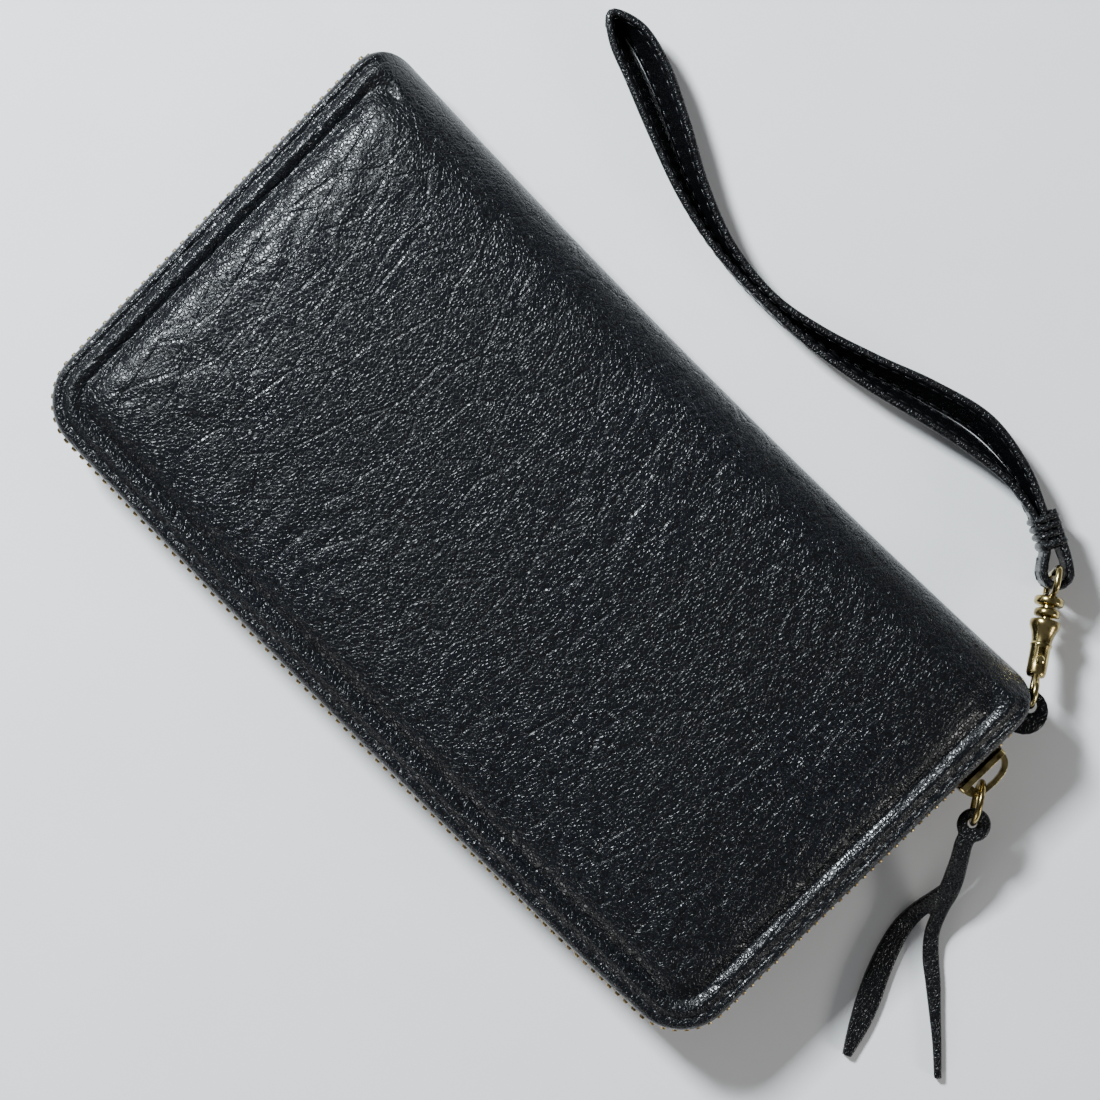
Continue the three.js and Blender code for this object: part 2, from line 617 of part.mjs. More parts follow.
function coinPull() {
  const y = COIN.edge;
  const shape = new THREE.Shape();
  shape.moveTo(1.1, -1.5);
  shape.lineTo(1.1, 1.5);
  shape.lineTo(-COIN_PULL, 1.6);
  shape.absarc(-COIN_PULL, 0, 1.6, Math.PI / 2, Math.PI * 1.5, false);
  shape.lineTo(1.1, -1.5);
  shape.holes.push(new THREE.Path([V2(0.6, -0.9), V2(-2.5, -0.9), V2(-2.5, 0.9), V2(0.6, 0.9)]));
  return new THREE.ExtrudeGeometry(shape, { depth: 0.6, bevelEnabled: false, curveSegments: 6 })
    .rotateX(Math.PI / 2)
    .translate(COIN_SLIDER_X, y - 3.6, MID);
}

// ---- Assembly ----
const wallet = new THREE.Group();

function add(name, geometry, material, group = wallet) {
  const mesh = new THREE.Mesh(geometry, material);
  mesh.name = name;
  group.add(mesh);
  return mesh;
}

function addCovers() {
  add('back_cover', cover(BACK_OUTER, BACK_INNER, -1), materials.cover);
  add('front_cover', cover(FRONT_OUTER, FRONT_INNER, 1), materials.cover);
  add('back_padding', pad([[26, 1.6], [14, 2.1], [13.5, 3.6]], 38), materials.foam);
  add('front_padding', pad([[13.5, 21.4], [14.5, 22], [26, 23.1]], 38), materials.foam);
  add('back_board', layer(10, 40, 3.9, 4.5), materials.board);
  add('front_board', layer(10, 40, THICKNESS - 4.5, THICKNESS - 3.9), materials.board);
  add('back_lining', layer(3.2, 42, 4.8, 5.3), materials.lining);
  add('front_lining', layer(3.2, 42, THICKNESS - 5.3, THICKNESS - 4.8), materials.lining);
}

function addPockets(half, panelZ, pocketZ) {
  add(`${half}_card_panel`, block(-84, 84, -44, 38, panelZ, panelZ + POCKET.thick), materials.lining);
  [-1, 1].forEach((column) => POCKET.rows.forEach((_, row) => {
    const name = `${half}_card_pocket_${column < 0 ? 'left' : 'right'}_${row + 1}`;
    add(name, cardPocket(column, row, pocketZ), materials.cover);
  }));
}

function addZip() {
  add('back_zip_tape', zipTape(-1), materials.tape);
  add('front_zip_tape', zipTape(1), materials.tape);
  add('back_zip_teeth', teethRow(-1), materials.brass);
  add('front_zip_teeth', teethRow(1), materials.brass);
  const x = crownX(ZIP_END_RIGHT);
  [-1, 1].forEach((side) => {
    const [low, high] = [MID + side * 0.7, MID + side * 3];
    const name = side < 0 ? 'zip_stop_back' : 'zip_stop_front';
    const stop = block(x - 2.3, x - 0.1, ZIP_END_RIGHT + GAP, ZIP_END_RIGHT + 1.7, low, high);
    add(name, stop, materials.brass);
  });
  const end = HALF_LENGTH - ROW_THICK;
  add('zip_end_stop', block(-HALF_LENGTH + 0.1, -end, ZIP_END_LEFT + GAP, ZIP_END_LEFT + 2.2,
    MID - 3, MID - 0.3), materials.brass);
}

function addInside() {
  const z = [MID - LEAF_HALF, MID + LEAF_HALF - COIN.skin];
  const panel = (z0) => block(-LEAF_LENGTH, LEAF_LENGTH, COIN.edge, COIN.spine, z0, z0 + COIN.skin);
  add('coin_pocket_back', panel(z[0]), materials.lining);
  add('coin_pocket_front', panel(z[1]), materials.lining);
  add('coin_zip_row_back', coinZipRow(-1), materials.brass);
  add('coin_zip_row_front', coinZipRow(1), materials.brass);
  add('coin_zip_slider', coinSlider(), materials.brass);
  add('coin_zip_pull', coinPull(), materials.brass);
  add('gusset_left', gusset(-1), materials.lining);
  add('gusset_right', gusset(1), materials.lining);
}

function addMainSlider() {
  const slider = add('main_zip_slider', sliderBody(), materials.brass);
  slider.position.set(crownX(SLIDER_Y), SLIDER_Y, MID);
  slider.rotation.z = -SIDE_LEAN;
  add('pull_ring', pullRing(), materials.brass);
  add('leather_pull', leatherPull(), materials.strap);
}

function addSnap() {
  add('spine_tab', spineTab(), materials.cover);
  const snap = new THREE.Group();
  snap.position.set(TAB.holeX, TAB.holeY, MID - SNAP.drop);
  snap.rotation.order = 'ZYX';
  snap.rotation.set(0, SNAP_PITCH, SNAP_HEADING);
  wallet.add(snap);
  add('snap_body', snapBody(), materials.brass, snap);
  add('snap_bolt', snapBolt(), materials.brass, snap);
  add('snap_spring', snapSpring(), materials.steel, snap);
  add('swivel_eye', swivelEye(), materials.brass, snap);
  add('wrist_strap', wristStrap(), materials.strap);
}

addCovers();
addPockets('back', 5.6, 6.3);
addPockets('front', THICKNESS - 6, THICKNESS - 6.7);
addZip();
addInside();
addMainSlider();
addSnap();

export default wallet;
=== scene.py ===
"""Builds the long zip-around leather wallet, its zip, pull, snap and wrist strap, around its CAD frame."""

import logging
import math
from dataclasses import dataclass
from enum import Enum
from typing import Iterable, Sequence

import bmesh
import bpy
import numpy as np
from mathutils import Matrix, Vector, noise


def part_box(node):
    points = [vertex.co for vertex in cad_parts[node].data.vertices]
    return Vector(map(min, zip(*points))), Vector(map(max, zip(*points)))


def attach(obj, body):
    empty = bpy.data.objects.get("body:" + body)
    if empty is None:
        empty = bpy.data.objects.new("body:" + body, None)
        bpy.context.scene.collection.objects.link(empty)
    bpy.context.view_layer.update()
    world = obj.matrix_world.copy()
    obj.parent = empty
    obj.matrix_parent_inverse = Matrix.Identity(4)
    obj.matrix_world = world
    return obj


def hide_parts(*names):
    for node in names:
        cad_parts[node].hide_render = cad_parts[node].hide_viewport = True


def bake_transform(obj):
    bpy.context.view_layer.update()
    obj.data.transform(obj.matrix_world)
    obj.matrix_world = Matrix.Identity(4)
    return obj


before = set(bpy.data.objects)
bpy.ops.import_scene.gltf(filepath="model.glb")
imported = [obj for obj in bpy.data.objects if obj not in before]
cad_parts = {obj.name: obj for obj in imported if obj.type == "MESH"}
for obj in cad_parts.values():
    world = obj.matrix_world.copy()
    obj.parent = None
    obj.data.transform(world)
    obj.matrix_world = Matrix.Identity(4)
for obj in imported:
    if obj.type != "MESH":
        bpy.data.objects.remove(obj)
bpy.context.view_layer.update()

LOG = logging.getLogger("wallet")
MM = 0.001
MID = 12.5  # height of the plane where the zip closes, in millimetres
ArrayLike = np.ndarray
Point = tuple[float, float, float]


class Side(Enum):
    """The two halves of the wallet and the way each faces from the closing plane."""

    BACK = -1
    FRONT = 1

    @property
    def body(self) -> str:
        """Name of the CAD body of this half."""
        return "back_half" if self is Side.BACK else "front_half"

    @property
    def word(self) -> str:
        """Prefix of this half's pieces."""
        return "back" if self is Side.BACK else "front"


class Slot(Enum):
    """Material slots of the record."""

    COVER = "cover_leather"
    STRAP = "strap_leather"
    LINING = "lining"
    BOARD = "board"
    FOAM = "foam"
    TAPE = "zip_tape"
    BRASS = "brass"
    SPRING = "spring_steel"


# ---------------------------------------------------------------------------
# Finishes
# ---------------------------------------------------------------------------


class NodeSheet:
    """A material's node tree with short calls for adding and joining nodes."""

    def __init__(self, name: str) -> None:
        """Starts an empty material of that name with its shader and output.

        Args:
            name: Name of the material.
        """
        self.material = bpy.data.materials.new(name)
        self.material.use_nodes = True
        self.tree = self.material.node_tree
        self.tree.nodes.clear()
        self.shader = self.add("ShaderNodeBsdfPrincipled")
        output = self.add("ShaderNodeOutputMaterial")
        self.link(self.shader.outputs[0], output.inputs[0])
        self.coords = self.add("ShaderNodeTexCoord")

    def add(self, kind: str, **settings: object) -> bpy.types.Node:
        """Adds a node.

        Args:
            kind: Blender's type name of the node.
            settings: Properties of the node, or socket values where the key is a socket's name.

        Returns:
            The new node.
        """
        node = self.tree.nodes.new(kind)
        for key, value in settings.items():
            if hasattr(node, key):
                setattr(node, key, value)
            else:
                node.inputs[key.replace("_", " ")].default_value = value
        return node

    def link(self, source: bpy.types.NodeSocket, target: bpy.types.NodeSocket) -> None:
        """Joins two sockets."""
        self.tree.links.new(source, target)

    def mapped(self, scale: Point, turn: float = 0.0) -> bpy.types.NodeSocket:
        """Object coordinates, turned about Z and scaled.

        Args:
            scale: Factor along each axis.
            turn: Turn about Z in degrees.

        Returns:
            The vector socket.
        """
        node = self.add("ShaderNodeMapping")
        node.inputs["Rotation"].default_value = (0, 0, math.radians(turn))
        node.inputs["Scale"].default_value = scale
        self.link(self.coords.outputs["Object"], node.inputs["Vector"])
        return node.outputs[0]

    def noise(self, vector: bpy.types.NodeSocket, scale: float, detail: float = 2.0,
              roughness: float = 0.5, distortion: float = 0.0) -> bpy.types.NodeSocket:
        """Fractal noise on a vector, as a value socket.

        Args:
            vector: Where it is sampled.
            scale: Repeats for each unit of the vector.
            detail: Number of finer octaves.
            roughness: Strength of the finer ones.
            distortion: How far it is twisted.

        Returns:
            Its value.
        """
        node = self.add("ShaderNodeTexNoise")
        for key, value in (("Scale", scale), ("Detail", detail), ("Roughness", roughness),
                           ("Distortion", distortion)):
            node.inputs[key].default_value = value
        self.link(vector, node.inputs["Vector"])
        return node.outputs[0]

    def cells(self, vector: bpy.types.NodeSocket, scale: float, edges: bool = True,
              randomness: float = 1.0) -> bpy.types.NodeSocket:
        """Voronoi distance on a vector: to the cell's edge, or to its middle.

        Args:
            vector: Where it is sampled.
            scale: Cells for each unit of the vector.
            edges: Distance to the edge, not the middle.
            randomness: How irregular the cells are.

        Returns:
            Its distance.
        """
        node = self.add("ShaderNodeTexVoronoi")
        node.feature = "DISTANCE_TO_EDGE" if edges else "F1"
        node.inputs["Scale"].default_value = scale
        node.inputs["Randomness"].default_value = randomness
        self.link(vector, node.inputs["Vector"])
        return node.outputs["Distance"]

    def math(self, operation: str, first: object, second: object = 0.0,
             third: object = 0.0) -> bpy.types.NodeSocket:
        """A math node on sockets or numbers, as a value socket.

        Args:
            operation: Name of the operation.
            first: First value or socket.
            second: Second value or socket.
            third: Third value or socket.

        Returns:
            Its result.
        """
        node = self.add("ShaderNodeMath", operation=operation)
        for socket, value in zip(node.inputs, (first, second, third)):
            if isinstance(value, bpy.types.NodeSocket):
                self.link(value, socket)
            else:
                socket.default_value = float(value)
        return node.outputs[0]

    def spread(self, value: bpy.types.NodeSocket, low: float, high: float, to_low: float,
               to_high: float) -> bpy.types.NodeSocket:
        """Maps a value from one range to another with its ends clamped.

        Args:
            value: The value.
            low: Start of its range.
            high: End of its range.
            to_low: Start of the new range.
            to_high: End of the new range.

        Returns:
            The new value.
        """
        node = self.add("ShaderNodeMapRange")
        node.interpolation_type = "SMOOTHSTEP"
        self.link(value, node.inputs["Value"])
        for key, number in (("From Min", low), ("From Max", high), ("To Min", to_low), ("To Max", to_high)):
            node.inputs[key].default_value = number
        return node.outputs[0]

    def tint(self, factor: bpy.types.NodeSocket, low: Point, high: Point) -> bpy.types.NodeSocket:
        """A colour between two by a factor, as a colour socket.

        Args:
            factor: Place between the two.
            low: Colour at 0.
            high: Colour at 1.

        Returns:
            The colour.
        """
        node = self.add("ShaderNodeMix", data_type="RGBA")
        node.inputs[6].default_value = (*low, 1)
        node.inputs[7].default_value = (*high, 1)
        self.link(factor, node.inputs[0])
        return node.outputs[2]

    def bump(self, heights: Iterable[tuple[bpy.types.NodeSocket, float, float]]) -> None:
        """Chains bump nodes into the shader's normal.

        Args:
            heights: Height socket, its full depth in millimetres and strength, coarse to fine.
        """
        last = None
        for height, depth, strength in heights:
            node = self.add("ShaderNodeBump")
            node.inputs["Strength"].default_value = strength
            node.inputs["Distance"].default_value = depth * MM
            self.link(height, node.inputs["Height"])
            if last is not None:
                self.link(last, node.inputs["Normal"])
            last = node.outputs[0]
        self.link(last, self.shader.inputs["Normal"])

    def fixed(self, **values: object) -> None:
        """Sets the shader's own sockets; underscores stand for spaces."""
        for key, value in values.items():
            self.shader.inputs[key.replace("_", " ")].default_value = value


@dataclass(frozen=True)
class LeatherFinish:
    """Pebbled leather with a soft gloss: cell grain, pores, slanting creases and painted shade in the crevices
    between pebbles.
    """

    name: str
    # dark: colour of the crevices between pebbles, standing for painted shade; light: colour of the pebble tops
    dark: Point
    light: Point
    roughness: tuple[float, float]
    grain: float = 0.8  # size of a pebble in millimetres
    grain_depth: float = 0.066
    crease_depth: float = 0.5
    crease_turn: float = 12.0
    coat: float = 0.0

    def build(self) -> bpy.types.Material:
        """Returns the finished material."""
        s = NodeSheet(self.name)
        plain = s.mapped((1, 1, 1))
        bent = s.add("ShaderNodeVectorMath", operation="MULTIPLY_ADD")
        warp = s.add("ShaderNodeTexNoise")
        warp.inputs["Scale"].default_value = 700
        warp.inputs["Detail"].default_value = 1
        s.link(plain, warp.inputs["Vector"])
        s.link(warp.outputs["Color"], bent.inputs[0])
        bent.inputs[1].default_value = (0.0011, 0.0011, 0.0011)
        s.link(plain, bent.inputs[2])
        pebble = s.cells(bent.outputs[0], 1000 / self.grain)
        pebble_height = s.spread(pebble, 0.0, 0.24, 0.0, 1.0)
        fine = s.cells(bent.outputs[0], 2300 / self.grain)
        fine_height = s.spread(fine, 0.0, 0.3, 0.0, 1.0)
        long_cells = s.cells(s.mapped((1.0, 0.27, 1.0), self.crease_turn), 190)
        crease = s.spread(long_cells, 0.0, 0.09, 0.0, 1.0)
        cross_cells = s.cells(s.mapped((0.55, 0.3, 1.0), -38.0), 260)
        cross = s.spread(cross_cells, 0.0, 0.06, 0.0, 1.0)
        patch = s.noise(plain, 26, 3, 0.6)
        gate = s.math("MULTIPLY", s.spread(patch, 0.4, 0.64, 0.0, 1.0),
                      s.spread(s.noise(plain, 130, 2), 0.35, 0.6, 0.15, 1.0))
        gated = s.math("MULTIPLY_ADD", s.math("SUBTRACT", crease, 1.0), gate, 1.0)
        gated_cross = s.math("MULTIPLY_ADD", s.math("SUBTRACT", cross, 1.0),
                             s.math("SUBTRACT", 1.0, gate), 1.0)
        drift = s.noise(plain, 60, 4, 0.55)
        s.bump((
            (drift, 0.6, 0.6),
            (gated, self.crease_depth, 0.42),
            (gated_cross, self.crease_depth * 0.5, 0.42),
            (pebble_height, self.grain_depth, 1.0),
            (fine_height, self.grain_depth * 0.3, 0.25),
        ))
        # Painted shade: the base colour goes to dark in the crevices between pebbles, where shade falls, and to light
        # on the pebble tops; the patch noise varies that tone at random.
        crevice_shade_and_patch_tone = s.math("MULTIPLY", pebble_height, s.spread(patch, 0.3, 0.75, 0.35, 1.0))
        s.link(s.tint(crevice_shade_and_patch_tone, self.dark, self.light), s.shader.inputs["Base Color"])
        rough = s.math("MULTIPLY_ADD", pebble_height, self.roughness[0] - self.roughness[1],
                       self.roughness[1])
        s.link(s.math("ADD", rough, s.spread(patch, 0.3, 0.7, 0.05, -0.05)), s.shader.inputs["Roughness"])
        s.fixed(Coat_Weight=self.coat, Coat_Roughness=0.32, Specular_IOR_Level=0.3)
        return s.material


@dataclass(frozen=True)
class EdgeFinish:
    """Dyed raw leather edge: fibres along the cut, matt with a few polished spots."""

    name: str
    dark: Point
    light: Point

    def build(self) -> bpy.types.Material:
        """Returns the finished material."""
        s = NodeSheet(self.name)
        plain = s.mapped((1, 1, 1))
        fibre = s.noise(plain, 2600, 3, 0.65)
        patch = s.noise(plain, 180, 2)
        s.bump(((fibre, 0.12, 0.7), (patch, 0.2, 0.4)))
        s.link(s.tint(s.spread(fibre, 0.3, 0.75, 0, 1), self.dark, self.light), s.shader.inputs["Base Color"])
        s.link(s.spread(patch, 0.3, 0.7, 0.35, 0.6), s.shader.inputs["Roughness"])
        s.fixed(Specular_IOR_Level=0.3)
        return s.material


@dataclass(frozen=True)
class ClothFinish:
    """Woven cloth in twill lines, on the piece's own coordinates."""

    name: str
    dark: Point
    light: Point
    pitch: float  # distance between ribs in millimetres
    turn: float = 45.0
    roughness: float = 0.8
    depth: float = 0.12
    sheen: float = 0.25

    def build(self) -> bpy.types.Material:
        """Returns the finished material."""
        s = NodeSheet(self.name)
        ribs = []
        for turn, scale in ((self.turn, self.pitch), (self.turn + 90, self.pitch * 0.6)):
            wave = s.add("ShaderNodeTexWave")
            wave.inputs["Scale"].default_value = 1000 / scale / 20 * 6.2832
            wave.inputs["Distortion"].default_value = 1.2
            wave.inputs["Detail Scale"].default_value = 3
            s.link(s.mapped((1, 1, 1), turn), wave.inputs["Vector"])
            ribs.append(wave.outputs["Fac"])
        weave = s.math("MULTIPLY", ribs[0], ribs[1])
        fuzz = s.noise(s.mapped((1, 1, 1)), 1800, 2, 0.6)
        s.bump(((weave, self.depth, 0.8), (fuzz, self.depth * 0.5, 0.5)))
        mixed = s.math("MULTIPLY_ADD", fuzz, 0.5, s.math("MULTIPLY", weave, 0.6))
        s.link(s.tint(mixed, self.dark, self.light), s.shader.inputs["Base Color"])
        s.fixed(Roughness=self.roughness, Sheen_Weight=self.sheen, Sheen_Roughness=0.4)
        return s.material


@dataclass(frozen=True)
class MetalFinish:
    """Handled metal: fine scratches, duller hollows and warm colour drift."""

    name: str
    bright: Point
    dull: Point
    roughness: tuple[float, float]

    def build(self) -> bpy.types.Material:
        """Returns the finished material."""
        s = NodeSheet(self.name)
        plain = s.mapped((1, 1, 1))
        patch = s.noise(plain, 420, 4, 0.6)
        scratch = s.noise(s.mapped((1, 9, 1), 31), 900, 3, 0.7)
        s.link(s.tint(s.spread(patch, 0.35, 0.7, 0, 1), self.bright, self.dull), s.shader.inputs["Base Color"])
        mixed = s.math("MULTIPLY_ADD", scratch, 0.4, s.math("MULTIPLY", patch, 0.6))
        s.link(s.spread(mixed, 0.3, 0.7, *self.roughness), s.shader.inputs["Roughness"])
        s.bump(((patch, 0.05, 0.3), (scratch, 0.02, 0.35)))
        s.fixed(Metallic=1.0)
        return s.material


@dataclass(frozen=True)
class GrainFinish:
    """Foam, pressed board or wax thread: a dull surface of small cells or fibres."""

    name: str
    dark: Point
    light: Point
    cell: float
    roughness: float
    depth: float = 0.1

    def build(self) -> bpy.types.Material:
        """Returns the finished material."""
        s = NodeSheet(self.name)
        plain = s.mapped((1, 1, 1))
        cells = s.cells(plain, 1000 / self.cell, edges=False)
        drift = s.noise(plain, 120, 3)
        s.bump(((cells, self.depth, 0.6), (drift, self.depth, 0.4)))
        s.link(s.tint(s.math("MULTIPLY_ADD", cells, 0.5, s.math("MULTIPLY", drift, 0.5)),
                      self.dark, self.light), s.shader.inputs["Base Color"])
        s.fixed(Roughness=self.roughness)
        return s.material


class Palette:
    """The wallet's finishes, each made once."""

    def __init__(self) -> None:
        """Builds every material."""
        black, blue_black = (0.0015, 0.0016, 0.002), (0.008, 0.0095, 0.013)
        # Each leather's darker colour is also its painted shade in the crevices between pebbles.
        self.cover = LeatherFinish("cover_leather", black, blue_black, (0.19, 0.38)).build()
        self.strap = LeatherFinish("strap_leather", (0.0015, 0.0015, 0.0018), (0.007, 0.0075, 0.009), (0.22, 0.4),
                                   grain=0.7, crease_depth=0.3, crease_turn=40).build()
        self.pocket = LeatherFinish("pocket_leather", black, (0.01, 0.011, 0.014), (0.36, 0.5),
                                    grain=0.55, crease_depth=0.15).build()
        self.edge = EdgeFinish("leather_edge", (0.002, 0.0018, 0.0018), (0.014, 0.011, 0.009)).build()
        self.lining = ClothFinish("lining_twill", (0.014, 0.012, 0.011), (0.05, 0.043, 0.037), 0.6).build()
        self.tape = ClothFinish("zip_tape_weave", (0.004, 0.004, 0.005), (0.02, 0.02, 0.022), 0.9,
                                turn=0.0, roughness=0.75, depth=0.16).build()
        self.brass = MetalFinish("brass", (0.5, 0.4, 0.17), (0.1, 0.07, 0.025), (0.13, 0.32)).build()
        self.teeth = MetalFinish("zip_brass", (0.34, 0.25, 0.11), (0.1, 0.07, 0.03), (0.26, 0.45)).build()
        self.spring = MetalFinish("spring_wire", (0.6, 0.6, 0.62), (0.4, 0.4, 0.42), (0.2, 0.35)).build()
        self.foam = GrainFinish("foam", (0.5, 0.48, 0.42), (0.76, 0.74, 0.68), 0.5, 0.9).build()
        self.board = GrainFinish("fibre_board", (0.2, 0.16, 0.11), (0.4, 0.34, 0.26), 0.25, 0.85).build()
        self.thread = GrainFinish("waxed_thread", (0.003, 0.003, 0.0035), (0.014, 0.015, 0.018), 0.3, 0.36).build()
        self.floor = GrainFinish("floor_paper", (0.86, 0.86, 0.86), (0.93, 0.93, 0.93), 40, 0.9, 0.0).build()


# ---------------------------------------------------------------------------
# Mesh making, all in millimetres until a mesh is finished
# ---------------------------------------------------------------------------


def mesh_object(name: str, points: ArrayLike, faces: Sequence[Sequence[int]],
                material: bpy.types.Material | None = None, smooth: bool = True) -> bpy.types.Object:
    """Makes an object from points in millimetres.

    Args:
        name: Name of the object and its mesh.
        points: Array of points.
        faces: Vertex indices of each face.
        material: Its material.
        smooth: Smooth shading.

    Returns:
        The new object, linked to the scene, in metres.
    """
    mesh = bpy.data.meshes.new(name)
    mesh.from_pydata([tuple(p) for p in np.asarray(points, float) * MM], [], [tuple(f) for f in faces])
    mesh.polygons.foreach_set("use_smooth", [smooth] * len(mesh.polygons))
    if material is not None:
        mesh.materials.append(material)
    made = bpy.data.objects.new(name, mesh)
    bpy.context.scene.collection.objects.link(made)
    return made


def outward(obj: bpy.types.Object, merge: float = 0.0) -> bpy.types.Object:
    """Merges doubles within a distance in millimetres and turns a closed mesh's faces outwards.

    Args:
        obj: The object.
        merge: Distance in millimetres within which points become one.

    Returns:
        The same object.
    """
    bm = bmesh.new()
    bm.from_mesh(obj.data)
    if merge:
        bmesh.ops.remove_doubles(bm, verts=bm.verts, dist=merge * MM)
    bmesh.ops.recalc_face_normals(bm, faces=bm.faces)
    bm.to_mesh(obj.data)
    bm.free()
    return obj


def bake(obj: bpy.types.Object) -> bpy.types.Object:
    """Makes what the modifiers give the object's own mesh, and removes them.

    Args:
        obj: The object.

    Returns:
        The same object.
    """
    graph = bpy.context.evaluated_depsgraph_get()
    graph.update()
    made = bpy.data.meshes.new_from_object(obj.evaluated_get(graph), depsgraph=graph)
    old = obj.data
    obj.modifiers.clear()
    if obj.type == "MESH":
        obj.data = made
        bpy.data.meshes.remove(old)
        made.name = obj.name
        return obj
    name = obj.name
    swapped = bpy.data.objects.new(name, made)
    bpy.context.scene.collection.objects.link(swapped)
    bpy.data.objects.remove(obj)
    swapped.name = name
    return swapped


def join(name: str, parts: Sequence[bpy.types.Object]) -> bpy.types.Object:
    """Joins meshes into one object with that name.

    Args:
        name: Name of the result.
        parts: The meshes, which are used up.

    Returns:
        The joined object.
    """
    bm = bmesh.new()
    materials: list[bpy.types.Material] = []
    for part in parts:
        offset = []
        for material in part.data.materials:
            if material not in materials:
                materials.append(material)
            offset.append(materials.index(material))
        before = len(bm.faces)
        bm.from_mesh(part.data)
        bm.faces.ensure_lookup_table()
        for face in bm.faces[before:]:
            face.material_index = offset[face.material_index] if offset else 0
    mesh = bpy.data.meshes.new(name)
    bm.to_mesh(mesh)
    bm.free()
    for material in materials:
        mesh.materials.append(material)
    for part in parts:
        bpy.data.objects.remove(part)
    made = bpy.data.objects.new(name, mesh)
    bpy.context.scene.collection.objects.link(made)
    return made


def loft(name: str, rings: Sequence[ArrayLike], material: bpy.types.Material, closed: bool = True,
         caps: bool = True) -> bpy.types.Object:
    """Joins rings of equal length into a surface.

    Args:
        name: Name of the object.
        rings: Arrays of points, one for each ring.
        material: Its material.
        closed: Whether each ring closes on itself.
        caps: Whether the first and last ring are filled.

    Returns:
        The object.
    """
    count = len(rings[0])
    points = np.concatenate(rings)
    faces: list[Sequence[int]] = []
    span = count if closed else count - 1
    for k in range(len(rings) - 1):
        for i in range(span):
            j = (i + 1) % count
            faces.append((k * count + i, k * count + j, (k + 1) * count + j, (k + 1) * count + i))
    if caps:
        faces.append(tuple(range(count))[::-1])
        faces.append(tuple(range((len(rings) - 1) * count, len(rings) * count)))
    return mesh_object(name, points, faces, material)


def smooth_path(points: Sequence[Sequence[float]], steps: int) -> ArrayLike:
    """Centripetal Catmull-Rom curve through points, sampled evenly.

    Args:
        points: Points that the curve passes through, in three dimensions or more.
        steps: Number of stretches along it.

    Returns:
        Array of steps + 1 points.
    """
    p = np.asarray(points, float)
    p = np.vstack([2 * p[0] - p[1], p, 2 * p[-1] - p[-2]])
    dense = []
    for i in range(1, len(p) - 2):
        quad = p[i - 1:i + 3]
        t = np.concatenate([[0], np.cumsum(np.sqrt(np.linalg.norm(np.diff(quad[:, :3], axis=0), axis=1)))])
        for s in np.linspace(t[1], t[2], 24, endpoint=False):
            a = [(t[j + 1] - s) / (t[j + 1] - t[j]) * quad[j] + (s - t[j]) / (t[j + 1] - t[j]) * quad[j + 1]
                 for j in range(3)]
            b = [(t[j + 2] - s) / (t[j + 2] - t[j]) * a[j] + (s - t[j]) / (t[j + 2] - t[j]) * a[j + 1]
                 for j in range(2)]
            dense.append((t[2] - s) / (t[2] - t[1]) * b[0] + (s - t[1]) / (t[2] - t[1]) * b[1])
    dense.append(p[-2])
    line = np.asarray(dense)
    along = np.concatenate([[0], np.cumsum(np.linalg.norm(np.diff(line[:, :3], axis=0), axis=1))])
    wanted = np.linspace(0, along[-1], steps + 1)
    return np.column_stack([np.interp(wanted, along, line[:, c]) for c in range(line.shape[1])])


def frames_along(path: ArrayLike, up: ArrayLike | None = None) -> list[tuple[ArrayLike, ArrayLike, ArrayLike]]:
    """Tangent, side and up at each point of a path, with up kept as steady as it can be.

    Args:
        path: The points.
        up: Direction that up starts near.

    Returns:
        Tangent, side and up at each point.
    """
    tangents = np.gradient(path[:, :3], axis=0)
    tangents /= np.linalg.norm(tangents, axis=1)[:, None]
    found = []
    steady = np.array([0, 0, 1.0]) if up is None else np.asarray(up, float)
    for t in tangents:
        side = np.cross(t, steady)
        side /= max(np.linalg.norm(side), 1e-9)
        top = np.cross(side, t)
        if up is None:
            steady = top
        found.append((t, side, top))
    return found


def tube(name: str, path: ArrayLike, radius: float, material: bpy.types.Material, sides: int = 16,
         closed: bool = False) -> bpy.types.Object:
    """A round rod along a path, with domed ends unless it closes on itself.

    Args:
        name: Name of the piece.
        path: Points of its middle.
        radius: Its radius in millimetres.
        material: Its material.
        sides: Number of sides.
        closed: Whether it meets itself.

    Returns:
        The rod.
    """
    turns = np.linspace(0, 2 * np.pi, sides, endpoint=False)
    rings = []
    placed = frames_along(path)
    if not closed:
        t0, t1 = placed[0][0], placed[-1][0]
        for back, share in ((0.9, 0.35), (0.55, 0.8)):
            rings.append((path[0] - t0 * radius * back * 0.6, placed[0], radius * share))
    rings += [(p, f, radius) for p, f in zip(path, placed)]
    if not closed:
        for back, share in ((0.55, 0.8), (0.9, 0.35)):
            rings.append((path[-1] + t1 * radius * back * 0.6, placed[-1], radius * share))
    arrays = [c + r * (np.outer(np.cos(turns), f[1]) + np.outer(np.sin(turns), f[2])) for c, f, r in rings]
    if closed:
        arrays.append(arrays[0])
        made = loft(name, arrays, material, caps=False)
        return outward(made, merge=0.02)
    return outward(loft(name, arrays, material))


